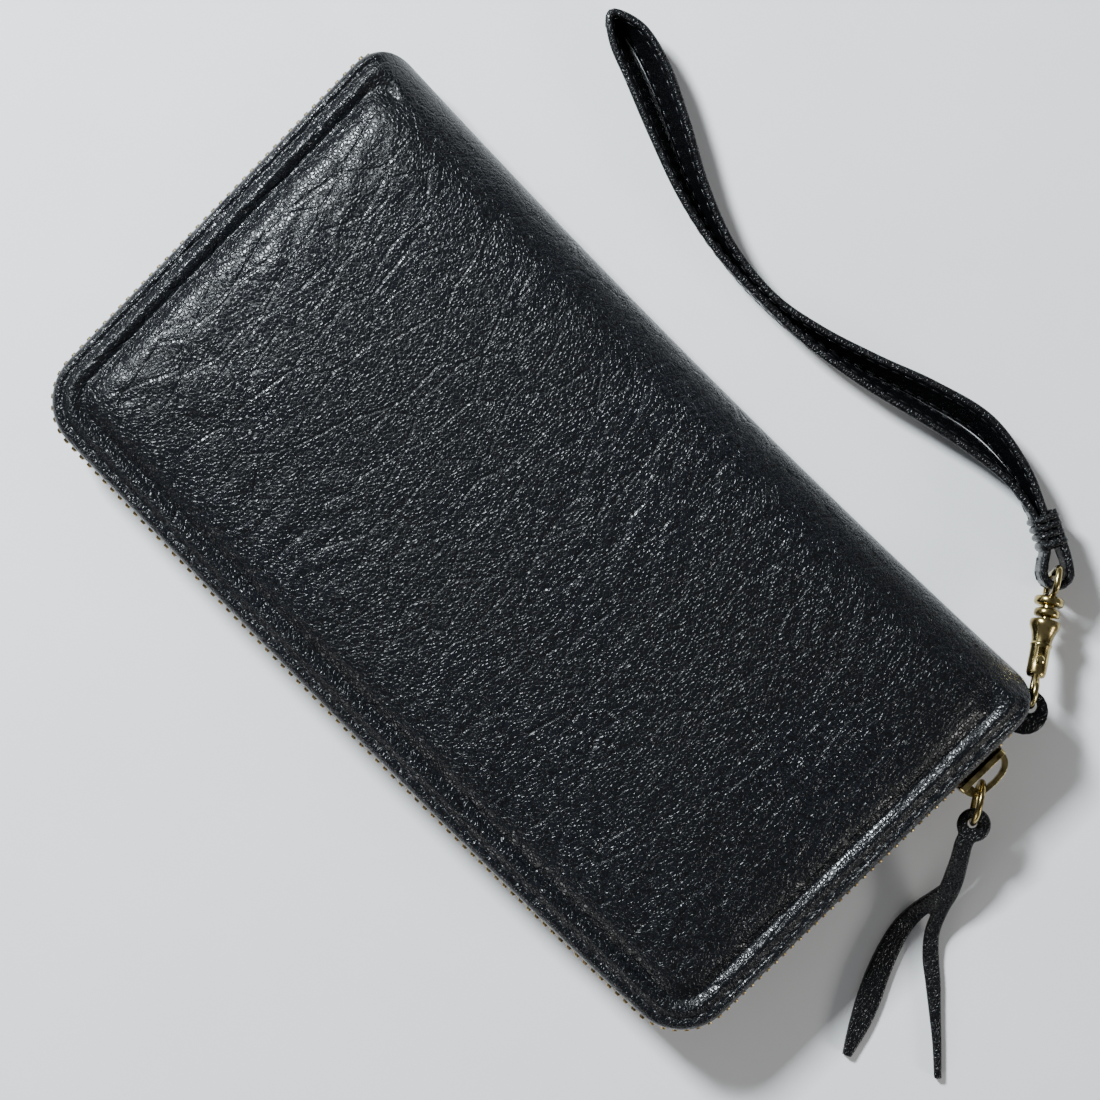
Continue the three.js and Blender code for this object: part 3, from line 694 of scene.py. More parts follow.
def band(name: str, path: ArrayLike, widths: ArrayLike, thick: float, material: bpy.types.Material,
         edge: bpy.types.Material | None = None, across: ArrayLike | None = None,
         soften: float = 0.35) -> bpy.types.Object:
    """A flat strip with softened edges along a path.

    Args:
        name: Name of the object.
        path: Middle line of the strip.
        widths: Width at each point.
        thick: Thickness.
        material: Material of the faces.
        edge: Material of the two cut edges.
        across: Direction of the width at each point; level and square to the path if left out.
        soften: Radius of the edges.

    Returns:
        The object.
    """
    r = min(soften, thick * 0.45)
    rings = []
    if across is None:
        placed = frames_along(path)
    else:
        tangents = np.gradient(path[:, :3], axis=0)
        placed = [(t, a, np.cross(a, t) / np.linalg.norm(np.cross(a, t))) for a, t in zip(across, tangents)]
    for p, (_, side, top), w in zip(path, placed, widths):
        half, h = w / 2, thick / 2
        corners = [(-half, -h + r), (-half + r * 0.3, -h + r * 0.3), (-half + r, -h),
                   (-half * 0.33, -h), (half * 0.33, -h),
                   (half - r, -h), (half - r * 0.3, -h + r * 0.3), (half, -h + r),
                   (half, h - r), (half - r * 0.3, h - r * 0.3), (half - r, h),
                   (half * 0.33, h), (-half * 0.33, h),
                   (-half + r, h), (-half + r * 0.3, h - r * 0.3), (-half, h - r)]
        rings.append(np.array([p[:3] + side * u + top * v for u, v in corners]))
    made = loft(name, rings, material)
    if edge is not None:
        made.data.materials.append(edge)
        count = len(rings[0])
        for k, polygon in enumerate(made.data.polygons):
            slot = k % count
            if k >= count * (len(rings) - 1) or slot in (0, 6, 7, 8, 14, 15):
                polygon.material_index = 1
    return outward(made)


def revolve(name: str, profile: Sequence[tuple[float, float]], material: bpy.types.Material,
            segments: int = 48) -> bpy.types.Object:
    """Turns a profile of (along X, radius) about the X axis into a closed body.

    Args:
        name: Name of the piece.
        profile: Pairs of a place along X and a radius.
        material: Its material.
        segments: Number of sides.

    Returns:
        The body.
    """
    turns = np.linspace(0, 2 * np.pi, segments, endpoint=False)
    rings = [np.column_stack([np.full(segments, x), max(r, 0.001) * np.cos(turns), max(r, 0.001) * np.sin(turns)])
             for x, r in profile]
    return outward(loft(name, rings, material))


def bevel(obj: bpy.types.Object, width: float, segments: int = 2, angle: float = 35.0) -> bpy.types.Object:
    """Rounds the sharp edges by a width in millimetres and bakes the result.

    Args:
        obj: The object.
        width: Width in millimetres.
        segments: Number of steps across.
        angle: Edges sharper than this many degrees are rounded.

    Returns:
        The same object.
    """
    modifier = obj.modifiers.new("Rounded edges", "BEVEL")
    modifier.width = width * MM
    modifier.segments = segments
    modifier.limit_method = "ANGLE"
    modifier.angle_limit = math.radians(angle)
    modifier.harden_normals = False
    return bake(obj)


def subdivide(obj: bpy.types.Object, levels: int = 1) -> bpy.types.Object:
    """Adds and bakes levels of subdivision.

    Args:
        obj: The object.
        levels: Number of levels.

    Returns:
        The same object.
    """
    modifier = obj.modifiers.new("Subdivision", "SUBSURF")
    modifier.levels = modifier.render_levels = levels
    modifier.boundary_smooth = "PRESERVE_CORNERS"
    return bake(obj)


def sharpen(obj: bpy.types.Object, degrees: float = 40.0) -> bpy.types.Object:
    """Marks edges over an angle as sharp, so that flats stay flat under smooth shading.

    Args:
        obj: The object.
        degrees: Edges over this angle become sharp.

    Returns:
        The same object.
    """
    bm = bmesh.new()
    bm.from_mesh(obj.data)
    for edge in bm.edges:
        edge.smooth = len(edge.link_faces) != 2 or edge.calc_face_angle(0) < math.radians(degrees)
    for face in bm.faces:
        face.smooth = True
    bm.to_mesh(obj.data)
    bm.free()
    return obj


def refined(node: str, name: str, material: bpy.types.Material, width: float = 0.2) -> bpy.types.Object:
    """A rounded copy of a CAD node: doubles merged, flats joined and edges rounded.

    Args:
        node: Name of the CAD node.
        name: Name of the new piece.
        material: Its material.
        width: Radius of the rounded edges in millimetres.

    Returns:
        The new piece.
    """
    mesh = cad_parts[node].data.copy()
    mesh.name = name
    mesh.materials.clear()
    mesh.materials.append(material)
    made = bpy.data.objects.new(name, mesh)
    bpy.context.scene.collection.objects.link(made)
    bm = bmesh.new()
    bm.from_mesh(mesh)
    bmesh.ops.remove_doubles(bm, verts=bm.verts, dist=0.002 * MM)
    bmesh.ops.dissolve_limit(bm, angle_limit=math.radians(2), verts=bm.verts, edges=bm.edges)
    for face in bm.faces:
        face.material_index = 0
    bm.to_mesh(mesh)
    bm.free()
    return sharpen(bevel(made, width), 50)


def settle(obj: bpy.types.Object, body: str, slot: Slot, *nodes: str) -> bpy.types.Object:
    """Rides a finished piece on its body and hides the CAD nodes that it stands for.

    Args:
        obj: The finished piece.
        body: Body that it rides on.
        slot: Material slot; not used.
        nodes: CAD nodes that it replaces.
    """
    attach(obj, body)
    if nodes:
        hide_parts(*nodes)
    LOG.info("%s: %d faces on %s", obj.name, len(obj.data.polygons), body)
    return obj


# ---------------------------------------------------------------------------
# Repeats along a path
# ---------------------------------------------------------------------------


@dataclass
class Repeat:
    """Copies of one small shape along a path, made with Geometry Nodes.

    Attributes:
        name: Name of the piece.
        shape: The small shape, along X, with its outside towards -Y.
        pitch: Distance between copies in millimetres.
        sway: Random turn of each copy in degrees.
        seed: Seed of the turns.
    """

    name: str
    shape: bpy.types.Object
    material: bpy.types.Material
    pitch: float
    sway: float = 0.0
    seed: int = 3

    def tree(self) -> bpy.types.NodeTree:
        """Returns the node tree, with named inputs."""
        tree = bpy.data.node_groups.new(f"{self.name}_repeat", "GeometryNodeTree")
        face = tree.interface
        face.new_socket("Geometry", in_out="INPUT", socket_type="NodeSocketGeometry")
        for label, kind in (("Shape", "NodeSocketObject"), ("Pitch", "NodeSocketFloat"),
                            ("Sway", "NodeSocketFloat"), ("Seed", "NodeSocketInt"),
                            ("Finish", "NodeSocketMaterial")):
            face.new_socket(label, in_out="INPUT", socket_type=kind)
        face.new_socket("Geometry", in_out="OUTPUT", socket_type="NodeSocketGeometry")
        nodes = {key: tree.nodes.new(kind) for key, kind in (
            ("in", "NodeGroupInput"), ("out", "NodeGroupOutput"), ("even", "GeometryNodeResampleCurve"),
            ("tangent", "GeometryNodeInputTangent"), ("align", "FunctionNodeAlignRotationToVector"),
            ("info", "GeometryNodeObjectInfo"), ("place", "GeometryNodeInstanceOnPoints"),
            ("low", "ShaderNodeMath"), ("random", "FunctionNodeRandomValue"),
            ("turn", "GeometryNodeRotateInstances"), ("real", "GeometryNodeRealizeInstances"),
            ("finish", "GeometryNodeSetMaterial"))}
        nodes["even"].mode = "LENGTH"
        nodes["align"].axis = "X"
        nodes["align"].pivot_axis = "Z"
        nodes["low"].operation = "MULTIPLY"
        nodes["low"].inputs[1].default_value = -1
        nodes["random"].data_type = "FLOAT_VECTOR"
        given = nodes["in"].outputs
        for source, target in (
                (given["Geometry"], nodes["even"].inputs["Curve"]),
                (given["Pitch"], nodes["even"].inputs["Length"]),
                (nodes["tangent"].outputs[0], nodes["align"].inputs["Vector"]),
                (given["Shape"], nodes["info"].inputs["Object"]),
                (nodes["even"].outputs[0], nodes["place"].inputs["Points"]),
                (nodes["info"].outputs["Geometry"], nodes["place"].inputs["Instance"]),
                (nodes["align"].outputs[0], nodes["place"].inputs["Rotation"]),
                (given["Sway"], nodes["low"].inputs[0]),
                (nodes["low"].outputs[0], nodes["random"].inputs[0]),
                (given["Sway"], nodes["random"].inputs[1]),
                (given["Seed"], nodes["random"].inputs["Seed"]),
                (nodes["place"].outputs[0], nodes["turn"].inputs["Instances"]),
                (nodes["random"].outputs[0], nodes["turn"].inputs["Rotation"]),
                (nodes["turn"].outputs[0], nodes["real"].inputs[0]),
                (nodes["real"].outputs[0], nodes["finish"].inputs["Geometry"]),
                (given["Finish"], nodes["finish"].inputs["Material"]),
                (nodes["finish"].outputs[0], nodes["out"].inputs[0])):
            tree.links.new(source, target)
        return tree

    def along(self, *paths: ArrayLike, closed: bool = False) -> bpy.types.Object:
        """Lays the copies along paths in millimetres.

        Args:
            paths: Arrays of points, one for each run.
            closed: Whether each path closes on itself.

        Returns:
            A plain mesh of all copies.
        """
        curve = bpy.data.curves.new(self.name, "CURVE")
        curve.dimensions = "3D"
        for path in paths:
            spline = curve.splines.new("POLY")
            spline.points.add(len(path) - 1)
            spline.points.foreach_set("co", np.column_stack([path * MM, np.ones(len(path))]).ravel())
            spline.use_cyclic_u = closed
        carrier = bpy.data.objects.new(self.name, curve)
        bpy.context.scene.collection.objects.link(carrier)
        tree = self.tree()
        modifier = carrier.modifiers.new("Repeat", "NODES")
        modifier.node_group = tree
        keys = {item.name: item.identifier for item in tree.interface.items_tree
                if item.in_out == "INPUT"}
        for label, value in (("Shape", self.shape), ("Pitch", self.pitch * MM),
                             ("Sway", math.radians(self.sway)), ("Seed", self.seed),
                             ("Finish", self.material)):
            modifier[keys[label]] = value
        made = bake(carrier)
        made.data.polygons.foreach_set("use_smooth", [True] * len(made.data.polygons))
        return made


class SmallShapes:
    """The little shapes that are repeated: a stitch and a zip tooth."""

    def __init__(self) -> None:
        """Starts with no shapes made."""
        self.made: list[bpy.types.Object] = []

    def _keep(self, obj: bpy.types.Object) -> bpy.types.Object:
        """Remembers a shape so that it can be removed at the end."""
        self.made.append(obj)
        return obj

    def stitch(self, length: float, width: float, height: float) -> bpy.types.Object:
        """A thread's visible stretch: a bead that dips at both ends, 48 faces.

        Args:
            length: Length in millimetres.
            width: Width in millimetres.
            height: Height in millimetres.

        Returns:
            The shape to repeat.
        """
        turns = np.linspace(0, 2 * np.pi, 8, endpoint=False)
        rings = []
        for s in (-0.98, -0.86, -0.55, 0.0, 0.55, 0.86, 0.98):
            full = math.sqrt(1 - s * s) ** 0.55
            drop = -height * 0.55 * s * s
            rings.append(np.column_stack([np.full(8, s * length / 2), np.cos(turns) * width / 2 * full,
                                          np.sin(turns) * height / 2 * full + drop]))
        return self._keep(outward(loft("stitch_shape", rings, bpy.data.materials[0])))

    def tooth(self, width: float, depth: float, low: float, high: float) -> bpy.types.Object:
        """A zip tooth: jaws crimped on the tape, a waist and a rounded head.

        Args:
            width: Size along the zip.
            depth: Size into the wallet.
            low: Height of the jaws' ends over the closing plane.
            high: Height of the head's tip.

        Returns:
            The shape; its crown faces -Y.
        """
        span = high - low
        levels = ((0.0, 0.8, 0.92), (0.06, 1.0, 1.0), (0.5, 1.0, 1.0), (0.62, 0.86, 0.84),
                  (0.8, 0.96, 0.86), (0.94, 0.86, 0.8), (1.0, 0.5, 0.6))
        outline = ((-0.5, 0.36), (-0.38, 0.5), (0.38, 0.5), (0.5, 0.36),
                   (0.5, -0.36), (0.38, -0.5), (-0.38, -0.5), (-0.5, -0.36))
        rings = [np.array([(x * width * sx, y * depth * sy, low + span * level) for x, y in outline])
                 for level, sx, sy in levels]
        return self._keep(outward(loft("tooth_shape", rings, bpy.data.materials[0])))

    def clear(self) -> None:
        """Removes the shapes."""
        for obj in self.made:
            bpy.data.objects.remove(obj)


# ---------------------------------------------------------------------------
# The wallet's plan
# ---------------------------------------------------------------------------


@dataclass(frozen=True)
class Plan:
    """Outline of the closed wallet, the same as the frame's."""

    half_length: float = 97.7
    spine_y: float = 54.4
    spine_sag: float = 2.2
    zip_y: float = -51.8
    zip_bow: float = 1.7
    zip_corner: float = 12.5
    taper: float = 0.015
    taper_from: float = 45.0
    taper_run: float = 85.0
    lip: float = 0.9
    spine_corner: float = 8.3
    columns: int = 92
    rows: int = 52
    corner_steps: int = 7
    inner_corner: float = 6.0

    def shaped(self, p: ArrayLike) -> ArrayLike:
        """Leans the short sides in and bows the long ones.

        Args:
            p: Points before shaping.

        Returns:
            Points on the real outline.
        """
        x, y = p[..., 0], p[..., 1]
        lean = 1 - self.taper * np.maximum(self.taper_from - y, 0) / self.taper_run
        bow = np.maximum(1 - (x / self.half_length) ** 2, 0)
        share = np.clip((y - self.zip_y) / (self.spine_y - self.zip_y), 0, 1)
        return np.stack([x * lean, y - bow * (self.spine_sag * share ** 3 + self.zip_bow * (1 - share) ** 3)], -1)

    def sides(self, inset: float, spine_inset: float) -> list[ArrayLike]:
        """The four sides of a ring, each from the middle of one corner to the middle of the next.

        Args:
            inset: Distance in from the zip's crown on three sides.
            spine_inset: Distance in from the spine's outer face.

        Returns:
            Zip side, right side, spine side and left side, anticlockwise, before shaping.
        """
        x, low, high = self.half_length - inset, self.zip_y + inset, self.spine_y - spine_inset
        r = max(self.zip_corner - inset, self.inner_corner)
        s = max(self.spine_corner + self.lip - max(inset, self.lip), self.inner_corner * 0.6)
        n = self.corner_steps

        def arc(cx: float, cy: float, radius: float, start: float, stop: float) -> ArrayLike:
            """Points on a circular arc between two angles in degrees."""
            turn = np.radians(np.linspace(start, stop, n + 1))
            return np.column_stack([cx + radius * np.cos(turn), cy + radius * np.sin(turn)])

        def side(first: ArrayLike, last: ArrayLike, count: int) -> ArrayLike:
            """One side of the outline, with a straight run between two arcs."""
            straight = np.linspace(first[-1], last[0], count - 2 * n + 1)[1:-1]
            return np.vstack([first, straight, last])

        return [
            side(arc(-x + r, low + r, r, 225, 270), arc(x - r, low + r, r, 270, 315), self.columns),
            side(arc(x - r, low + r, r, 315, 360), arc(x - s, high - s, s, 0, 45), self.rows),
            side(arc(x - s, high - s, s, 45, 90), arc(-x + s, high - s, s, 90, 135), self.columns),
            side(arc(-x + s, high - s, s, 135, 180), arc(-x + r, low + r, r, 180, 225), self.rows),
        ]

    def run(self, inset: float, start: float = 0.0, right_end: float = 42.5,
            left_end: float = 47.6) -> ArrayLike:
        """The zip's run at an inset, from the right end round to the left end.

        Args:
            inset: Distance in from the crown.
            start: Length left out at the right end.
            right_end: Y of its right end.
            left_end: Y of its left end.

        Returns:
            Array of points, going clockwise from above.
        """
        x, low, r = self.half_length - inset, self.zip_y + inset, self.zip_corner - inset
        turn = np.radians(np.linspace(0, -90, 25))
        pieces = [
            np.column_stack([np.full(60, x), np.linspace(right_end, low + r, 60)])[:-1],
            np.column_stack([x - r + r * np.cos(turn), low + r + r * np.sin(turn)])[:-1],
            np.column_stack([np.linspace(x - r, -x + r, 120), np.full(120, low)])[:-1],
            np.column_stack([-x + r + r * np.cos(np.radians(np.linspace(-90, -180, 25))),
                             low + r + r * np.sin(np.radians(np.linspace(-90, -180, 25)))])[:-1],
            np.column_stack([np.full(60, -x), np.linspace(low + r, left_end, 60)]),
        ]
        line = self.shaped(np.vstack(pieces))
        if start:
            along = np.concatenate([[0], np.cumsum(np.linalg.norm(np.diff(line, axis=0), axis=1))])
            keep = along > start
            first = [np.interp(start, along, line[:, c]) for c in (0, 1)]
            line = np.vstack([first, line[keep]])
        return line


def at_height(path: ArrayLike, height: float) -> ArrayLike:
    """Gives a plan path a height."""
    return np.column_stack([path, np.full(len(path), height)])


def wave(x: float, y: float, size: float, lift: float = 0.0) -> float:
    """Smooth repeatable noise between -1 and 1 with features of a size in millimetres."""
    return noise.noise(Vector((x / size, y / size, lift)))


# ---------------------------------------------------------------------------
# Covers
# ---------------------------------------------------------------------------

RELIEF_FRONT = (
    (0.12, 6.1), (0.0, 6.6), (0.05, 7.2), (0.2, 7.9), (0.5, 8.5), (1.0, 8.95), (1.55, 9.12),
    (2.0, 8.92), (2.5, 8.86), (3.0, 9.2), (3.6, 9.8), (4.2, 10.12), (4.8, 10.08), (5.4, 9.82),
    (6.0, 9.5), (6.5, 9.22), (6.9, 9.35), (7.7, 10.05), (8.8, 10.85), (10.2, 11.45), (12.0, 11.95),
)
RELIEF_BACK = (
    (0.12, 6.1), (0.0, 6.6), (0.05, 7.2), (0.2, 8.0), (0.5, 8.7), (1.0, 9.15), (1.55, 9.45),
    (2.0, 9.35), (2.5, 9.35), (3.0, 9.7), (3.6, 10.2), (4.2, 10.5), (4.8, 10.5), (5.4, 10.3),
    (6.0, 10.05), (6.5, 9.85), (6.9, 9.95), (7.7, 10.7), (8.8, 11.4), (10.2, 11.9), (12.0, 12.25),
)
CROWN_FRONT = ((12.0, 11.95), (15.0, 12.4), (20.0, 12.8), (28.0, 13.1), (40.0, 13.25), (60.0, 13.3))
CROWN_BACK = ((12.0, 12.25), (15.0, 12.45), (20.0, 12.5), (28.0, 12.5), (40.0, 12.5), (60.0, 12.5))


@dataclass
class Covers:
    """The padded leather that wraps both halves and the spine, with its stitching."""

    plan: Plan
    palette: Palette
    shapes: SmallShapes
    spine_radius: float = 12.5
    roll: float = 16.0
    top: float = 13.1
    skin: float = 1.0
    seam_low: float = 5.0   # heights between which the leather is cut out as the spine piece
    seam_high: float = 20.0
    seam_y: float = 48.6
    stitch_inset: float = 2.5
    stitch_pitch: float = 3.3
    sim_frames: int = 22
    relaxing: int = 400
    stretch: tuple[float, float] = (1.011, 1.004)
    pressure: float = 4.0

    def relief(self, side: Side) -> tuple[tuple[float, float], ...]:
        """Profile of the border: inset from the cover's edge and height over the closing plane."""
        return RELIEF_FRONT if side is Side.FRONT else RELIEF_BACK

    def crown(self, side: Side, inset: ArrayLike) -> ArrayLike:
        """Height of the panel by its distance from the cover's edge.

        Args:
            side: Which half.
            inset: Distances from the edge.

        Returns:
            Heights off the middle plane.
        """
        table = np.array(CROWN_FRONT if side is Side.FRONT else CROWN_BACK)
        border = np.array(self.relief(side)[5:])
        full = np.vstack([border[:-1], table])
        return np.interp(inset, full[:, 0], full[:, 1])

    def spine_height(self, from_face: ArrayLike) -> ArrayLike:
        """Height of the roll at a distance from the spine's outer face."""
        across = np.clip(1 - from_face / self.roll, 0, 1)
        return self.top * np.sqrt(1 - across ** 2)

    def skin_surface(self, side: Side) -> tuple[bpy.types.Object, ArrayLike]:
        """The outer face of one half, open at its lip and at the middle of the spine.

        Args:
            side: Which half.

        Returns:
            The object and, for each point, how freely it may puff, from 0 to 1.
        """
        plan = self.plan
        relief = self.relief(side)
        count = 2 * (plan.columns + plan.rows)
        turn = np.radians(np.concatenate([[0.0], np.linspace(4, 86, len(relief) - 1)]))
        rings, free = [], []
        for k, (inset, height) in enumerate(relief):
            spine_inset = self.spine_radius * (1 - math.cos(turn[k]))
            raw = np.vstack([s[:-1] for s in plan.sides(plan.lip + inset, spine_inset)])
            top = slice(plan.columns + plan.rows, 2 * plan.columns + plan.rows)
            flat = plan.shaped(raw)
            edge = np.full(count, height)
            middle = np.abs(raw[top, 0])
            near = plan.half_length - plan.lip - middle
            share = np.clip((near - 7) / 12, 0, 1)
            share = share * share * (3 - 2 * share)
            edge[top] = edge[top] * (1 - share) + np.maximum(self.crown(side, near), height) * share
            rings.append((flat, self.bounded(raw, edge)))
            free.append(np.clip((inset - 6.5) / 3.5, 0, 1) * np.clip((spine_inset - 8) / 4, 0, 1)
                        * np.ones(count))
        last = plan.sides(plan.lip + relief[-1][0], self.spine_radius * (1 - math.cos(turn[-1])))
        grid = self.coons(last)
        raw_in = grid[1:-1, 1:-1].reshape(-1, 2)
        near = np.minimum(plan.half_length - plan.lip - np.abs(raw_in[:, 0]),
                          raw_in[:, 1] - plan.zip_y - plan.lip)
        from_spine = plan.spine_y - raw_in[:, 1]
        height_in = self.bounded(raw_in, self.crown(side, self.rounded(raw_in, near)))
        free_in = np.clip((from_spine - 9) / 8, 0, 1)
        flat_all = np.vstack([f for f, _ in rings] + [plan.shaped(raw_in)])
        height_all = np.concatenate([h for _, h in rings] + [height_in])
        points = np.column_stack([flat_all, MID + side.value * height_all])
        faces = self.faces(len(relief), count)
        if side is Side.BACK:
            faces = [f[::-1] for f in faces]
        made = mesh_object(f"{side.word}_cover_leather", points, faces, self.palette.cover)
        return made, np.concatenate(free + [free_in])

    def rounded(self, raw: ArrayLike, near: ArrayLike) -> ArrayLike:
        """Eases the distance from the edge where two edges are equally near, so no ridge forms.

        Args:
            raw: Points before shaping.
            near: Their distances from the nearest edge.

        Returns:
            The eased distances.
        """
        plan = self.plan
        a = plan.half_length - plan.lip - np.abs(raw[:, 0])
        b = raw[:, 1] - plan.zip_y - plan.lip
        soft = 16.0
        blend = np.clip(0.5 + 0.5 * (b - a) / soft, 0, 1)
        return np.minimum(near, b * (1 - blend) + a * blend - soft * blend * (1 - blend))

    def bounded(self, raw: ArrayLike, edge: ArrayLike) -> ArrayLike:
        """The lower of a height and the spine's roll, with the change between them eased.

        Args:
            raw: Points before shaping.
            edge: Their heights by the edge alone.

        Returns:
            Heights off the middle plane.
        """
        roll = self.spine_height(self.plan.spine_y - raw[:, 1])
        soft = np.minimum(0.8, roll)
        blend = np.clip(0.5 + 0.5 * (roll - edge) / np.maximum(soft, 1e-6), 0, 1)
        return roll * (1 - blend) + edge * blend - soft * blend * (1 - blend)

    def coons(self, sides: list[ArrayLike]) -> ArrayLike:
        """A grid of points inside a ring of four sides, rows from the zip side to the spine.

        Args:
            sides: The four sides.

        Returns:
            The grid of points.
        """
        low, right, high, left = sides[0], sides[1], sides[2][::-1], sides[3][::-1]
        u = np.linspace(0, 1, len(low))[None, :, None]
        v = np.linspace(0, 1, len(left))[:, None, None]
        grid = ((1 - v) * low[None] + v * high[None] + (1 - u) * left[:, None] + u * right[:, None]
                - ((1 - u) * (1 - v) * low[0] + u * (1 - v) * low[-1] + (1 - u) * v * high[0] + u * v * high[-1]))
        for _ in range(self.relaxing):
            grid[1:-1, 1:-1] = (grid[:-2, 1:-1] + grid[2:, 1:-1] + grid[1:-1, :-2] + grid[1:-1, 2:]) / 4
        return grid

    def faces(self, rings: int, count: int) -> list[tuple[int, ...]]:
        """Faces of the border's rings and of the grid inside them.

        Args:
            rings: Number of rings.
            count: Points in each ring.

        Returns:
            Faces as point numbers.
        """
        plan = self.plan
        found = [(k * count + i, k * count + (i + 1) % count, (k + 1) * count + (i + 1) % count,
                  (k + 1) * count + i) for k in range(rings - 1) for i in range(count)]
        base, inner = (rings - 1) * count, rings * count
        nx, ny = plan.columns, plan.rows

        def index(row: int, column: int) -> int:
            """Number of a point in the rings and grid."""
            if row == 0:
                return base + column
            if column == nx:
                return base + nx + row
            if row == ny:
                return base + nx + ny + (nx - column)
            if column == 0:
                return base + (2 * nx + ny + (ny - row)) % count
            return inner + (row - 1) * (nx - 1) + column - 1

        found += [(index(r, c), index(r, c + 1), index(r + 1, c + 1), index(r + 1, c))
                  for r in range(ny) for c in range(nx)]
        return found

    def puff(self, obj: bpy.types.Object, free: ArrayLike, cap: float) -> None:
        """Lets the panel swell and gather as cloth over its padding, held at its border.

        Args:
            obj: The open leather surface.
            free: How freely each point may move.
            cap: Furthest that a point may move, in millimetres.
        """
        mesh = obj.data
        start = np.empty(len(mesh.vertices) * 3)
        mesh.vertices.foreach_get("co", start)
        start = start.reshape(-1, 3)
        moved = start
        soft = bpy.data.objects.new("panel_cloth", mesh.copy())
        bpy.context.scene.collection.objects.link(soft)
        soft.shape_key_add(name="Basis")
        rest = soft.shape_key_add(name="Cut")
        cut = start * np.array([*self.stretch, 1.0])
        rest.data.foreach_set("co", cut.ravel())
        group = soft.vertex_groups.new(name="held")
        for weight in np.unique(np.round(1 - free, 2)):
            picked = np.nonzero(np.round(1 - free, 2) == weight)[0]
            group.add(picked.tolist(), float(weight), "REPLACE")
        cloth = soft.modifiers.new("Cloth", "CLOTH")
        settings = cloth.settings
        settings.rest_shape_key = rest
        settings.vertex_group_mass = "held"
        settings.pin_stiffness = 1.0
        settings.quality = 4
        settings.mass = 0.2
        settings.tension_stiffness = settings.compression_stiffness = 18
        settings.shear_stiffness = 6
        settings.bending_stiffness = 0.4
        settings.use_pressure = True
        settings.uniform_pressure_force = self.pressure
        settings.effector_weights.gravity = 0
        cloth.point_cache.frame_start = 1
        cloth.point_cache.frame_end = self.sim_frames
        scene = bpy.context.scene
        for step in range(1, self.sim_frames + 1):
            scene.frame_set(step)
        graph = bpy.context.evaluated_depsgraph_get()
        shown = soft.evaluated_get(graph).data
        moved = np.empty(len(shown.vertices) * 3)
        shown.vertices.foreach_get("co", moved)
        moved = moved.reshape(-1, 3)
        scene.frame_set(1)
        bpy.data.objects.remove(soft)
        shift = np.nan_to_num((moved - start) / MM)
        length = np.maximum(np.linalg.norm(shift, axis=1), 1e-9)
        LOG.info("%s puffed by up to %.2f mm", obj.name, float(length.max()))
        shift *= (cap * np.tanh(length / cap) / length)[:, None]
        mesh.vertices.foreach_set("co", (start + shift * MM).ravel())
        mesh.update()

    def crease(self, obj: bpy.types.Object, side: Side, depth: float) -> None:
        """Moves the panel's points along their normals into fine slanting creases and soft swells.

        Args:
            obj: The puffed surface.
            side: Which half.
            depth: Depth of the creases in millimetres.
        """
        plan = self.plan
        mesh = obj.data
        count = len(mesh.vertices)
        points = np.empty(count * 3)
        normals = np.empty(count * 3)
        mesh.vertices.foreach_get("co", points)
        mesh.vertices.foreach_get("normal", normals)
        points, normals = points.reshape(-1, 3), normals.reshape(-1, 3)
        lift = 7.3 * side.value
        moves = np.zeros(count)
        for i, (x, y, z) in enumerate(points / MM):
            if abs(z - MID) < 7.5:
                continue
            near = min(plan.half_length - plan.lip - abs(x), y - plan.zip_y - plan.lip)
            panel = min(max((near - 6.5) / 5.0, 0.0), 1.0)
            turn = 0.16 + 0.5 * wave(x, y, 55, lift + 9)
            u = x * math.cos(turn) + y * math.sin(turn)
            v = -x * math.sin(turn) + y * math.cos(turn)
            bend = 3.5 * wave(x, y, 18, lift + 2)
            ridge = 1 - abs(wave(u + bend, v * 0.22, 4.6, lift)) * 2.6
            small = 1 - abs(wave(u + bend, v * 0.34, 2.3, lift + 4)) * 2.4
            gate = min(max(0.5 + 1.5 * wave(x, y, 30, lift + 6), 0.1), 1.0)
            swell = wave(x, y, 34, lift + 12)
            moves[i] = panel * (depth * (0.3 * swell + gate * (0.42 * max(ridge, 0.0) + 0.2 * max(small, 0.0) - 0.3)))
            moves[i] += 0.05 * (1 - panel) * wave(x, y, 5.0, lift + 3)
        points += normals * moves[:, None] * MM
        if side is Side.BACK:
            points[:, 2] = np.maximum(points[:, 2], 0.0)
        mesh.vertices.foreach_set("co", points.ravel())
        mesh.update()

    def split(self, whole: bpy.types.Object) -> dict[str, bpy.types.Object]:
        """Cuts the wrapped leather into its front, back and spine, then gives each its thickness.

        Args:
            whole: The wrapped leather.

        Returns:
            Pieces by name.
        """
        low, high, back = self.seam_low * MM, self.seam_high * MM, self.seam_y * MM
        bm = bmesh.new()
        bm.from_mesh(whole.data)
        for height in (low, high):
            near = [f for f in bm.faces if f.calc_center_median().y > back - 0.004]
            geometry = near + list({e for f in near for e in f.edges}) + list({v for f in near for v in f.verts})
            bmesh.ops.bisect_plane(bm, geom=geometry, plane_co=(0, 0, height), plane_no=(0, 0, 1), dist=1e-6)
        near = [f for f in bm.faces if low < f.calc_center_median().z < high
                and f.calc_center_median().y > back - 0.006]
        geometry = near + list({e for f in near for e in f.edges}) + list({v for f in near for v in f.verts})
        bmesh.ops.bisect_plane(bm, geom=geometry, plane_co=(0, back, 0), plane_no=(0, 1, 0), dist=1e-6)

        def part(face: bmesh.types.BMFace) -> str:
            """Name of the piece that a face belongs to."""
            middle = face.calc_center_median()
            if middle.y > back and low < middle.z < high:
                return "spine_leather"
            return "front_cover_leather" if middle.z > MID * MM else "back_cover_leather"

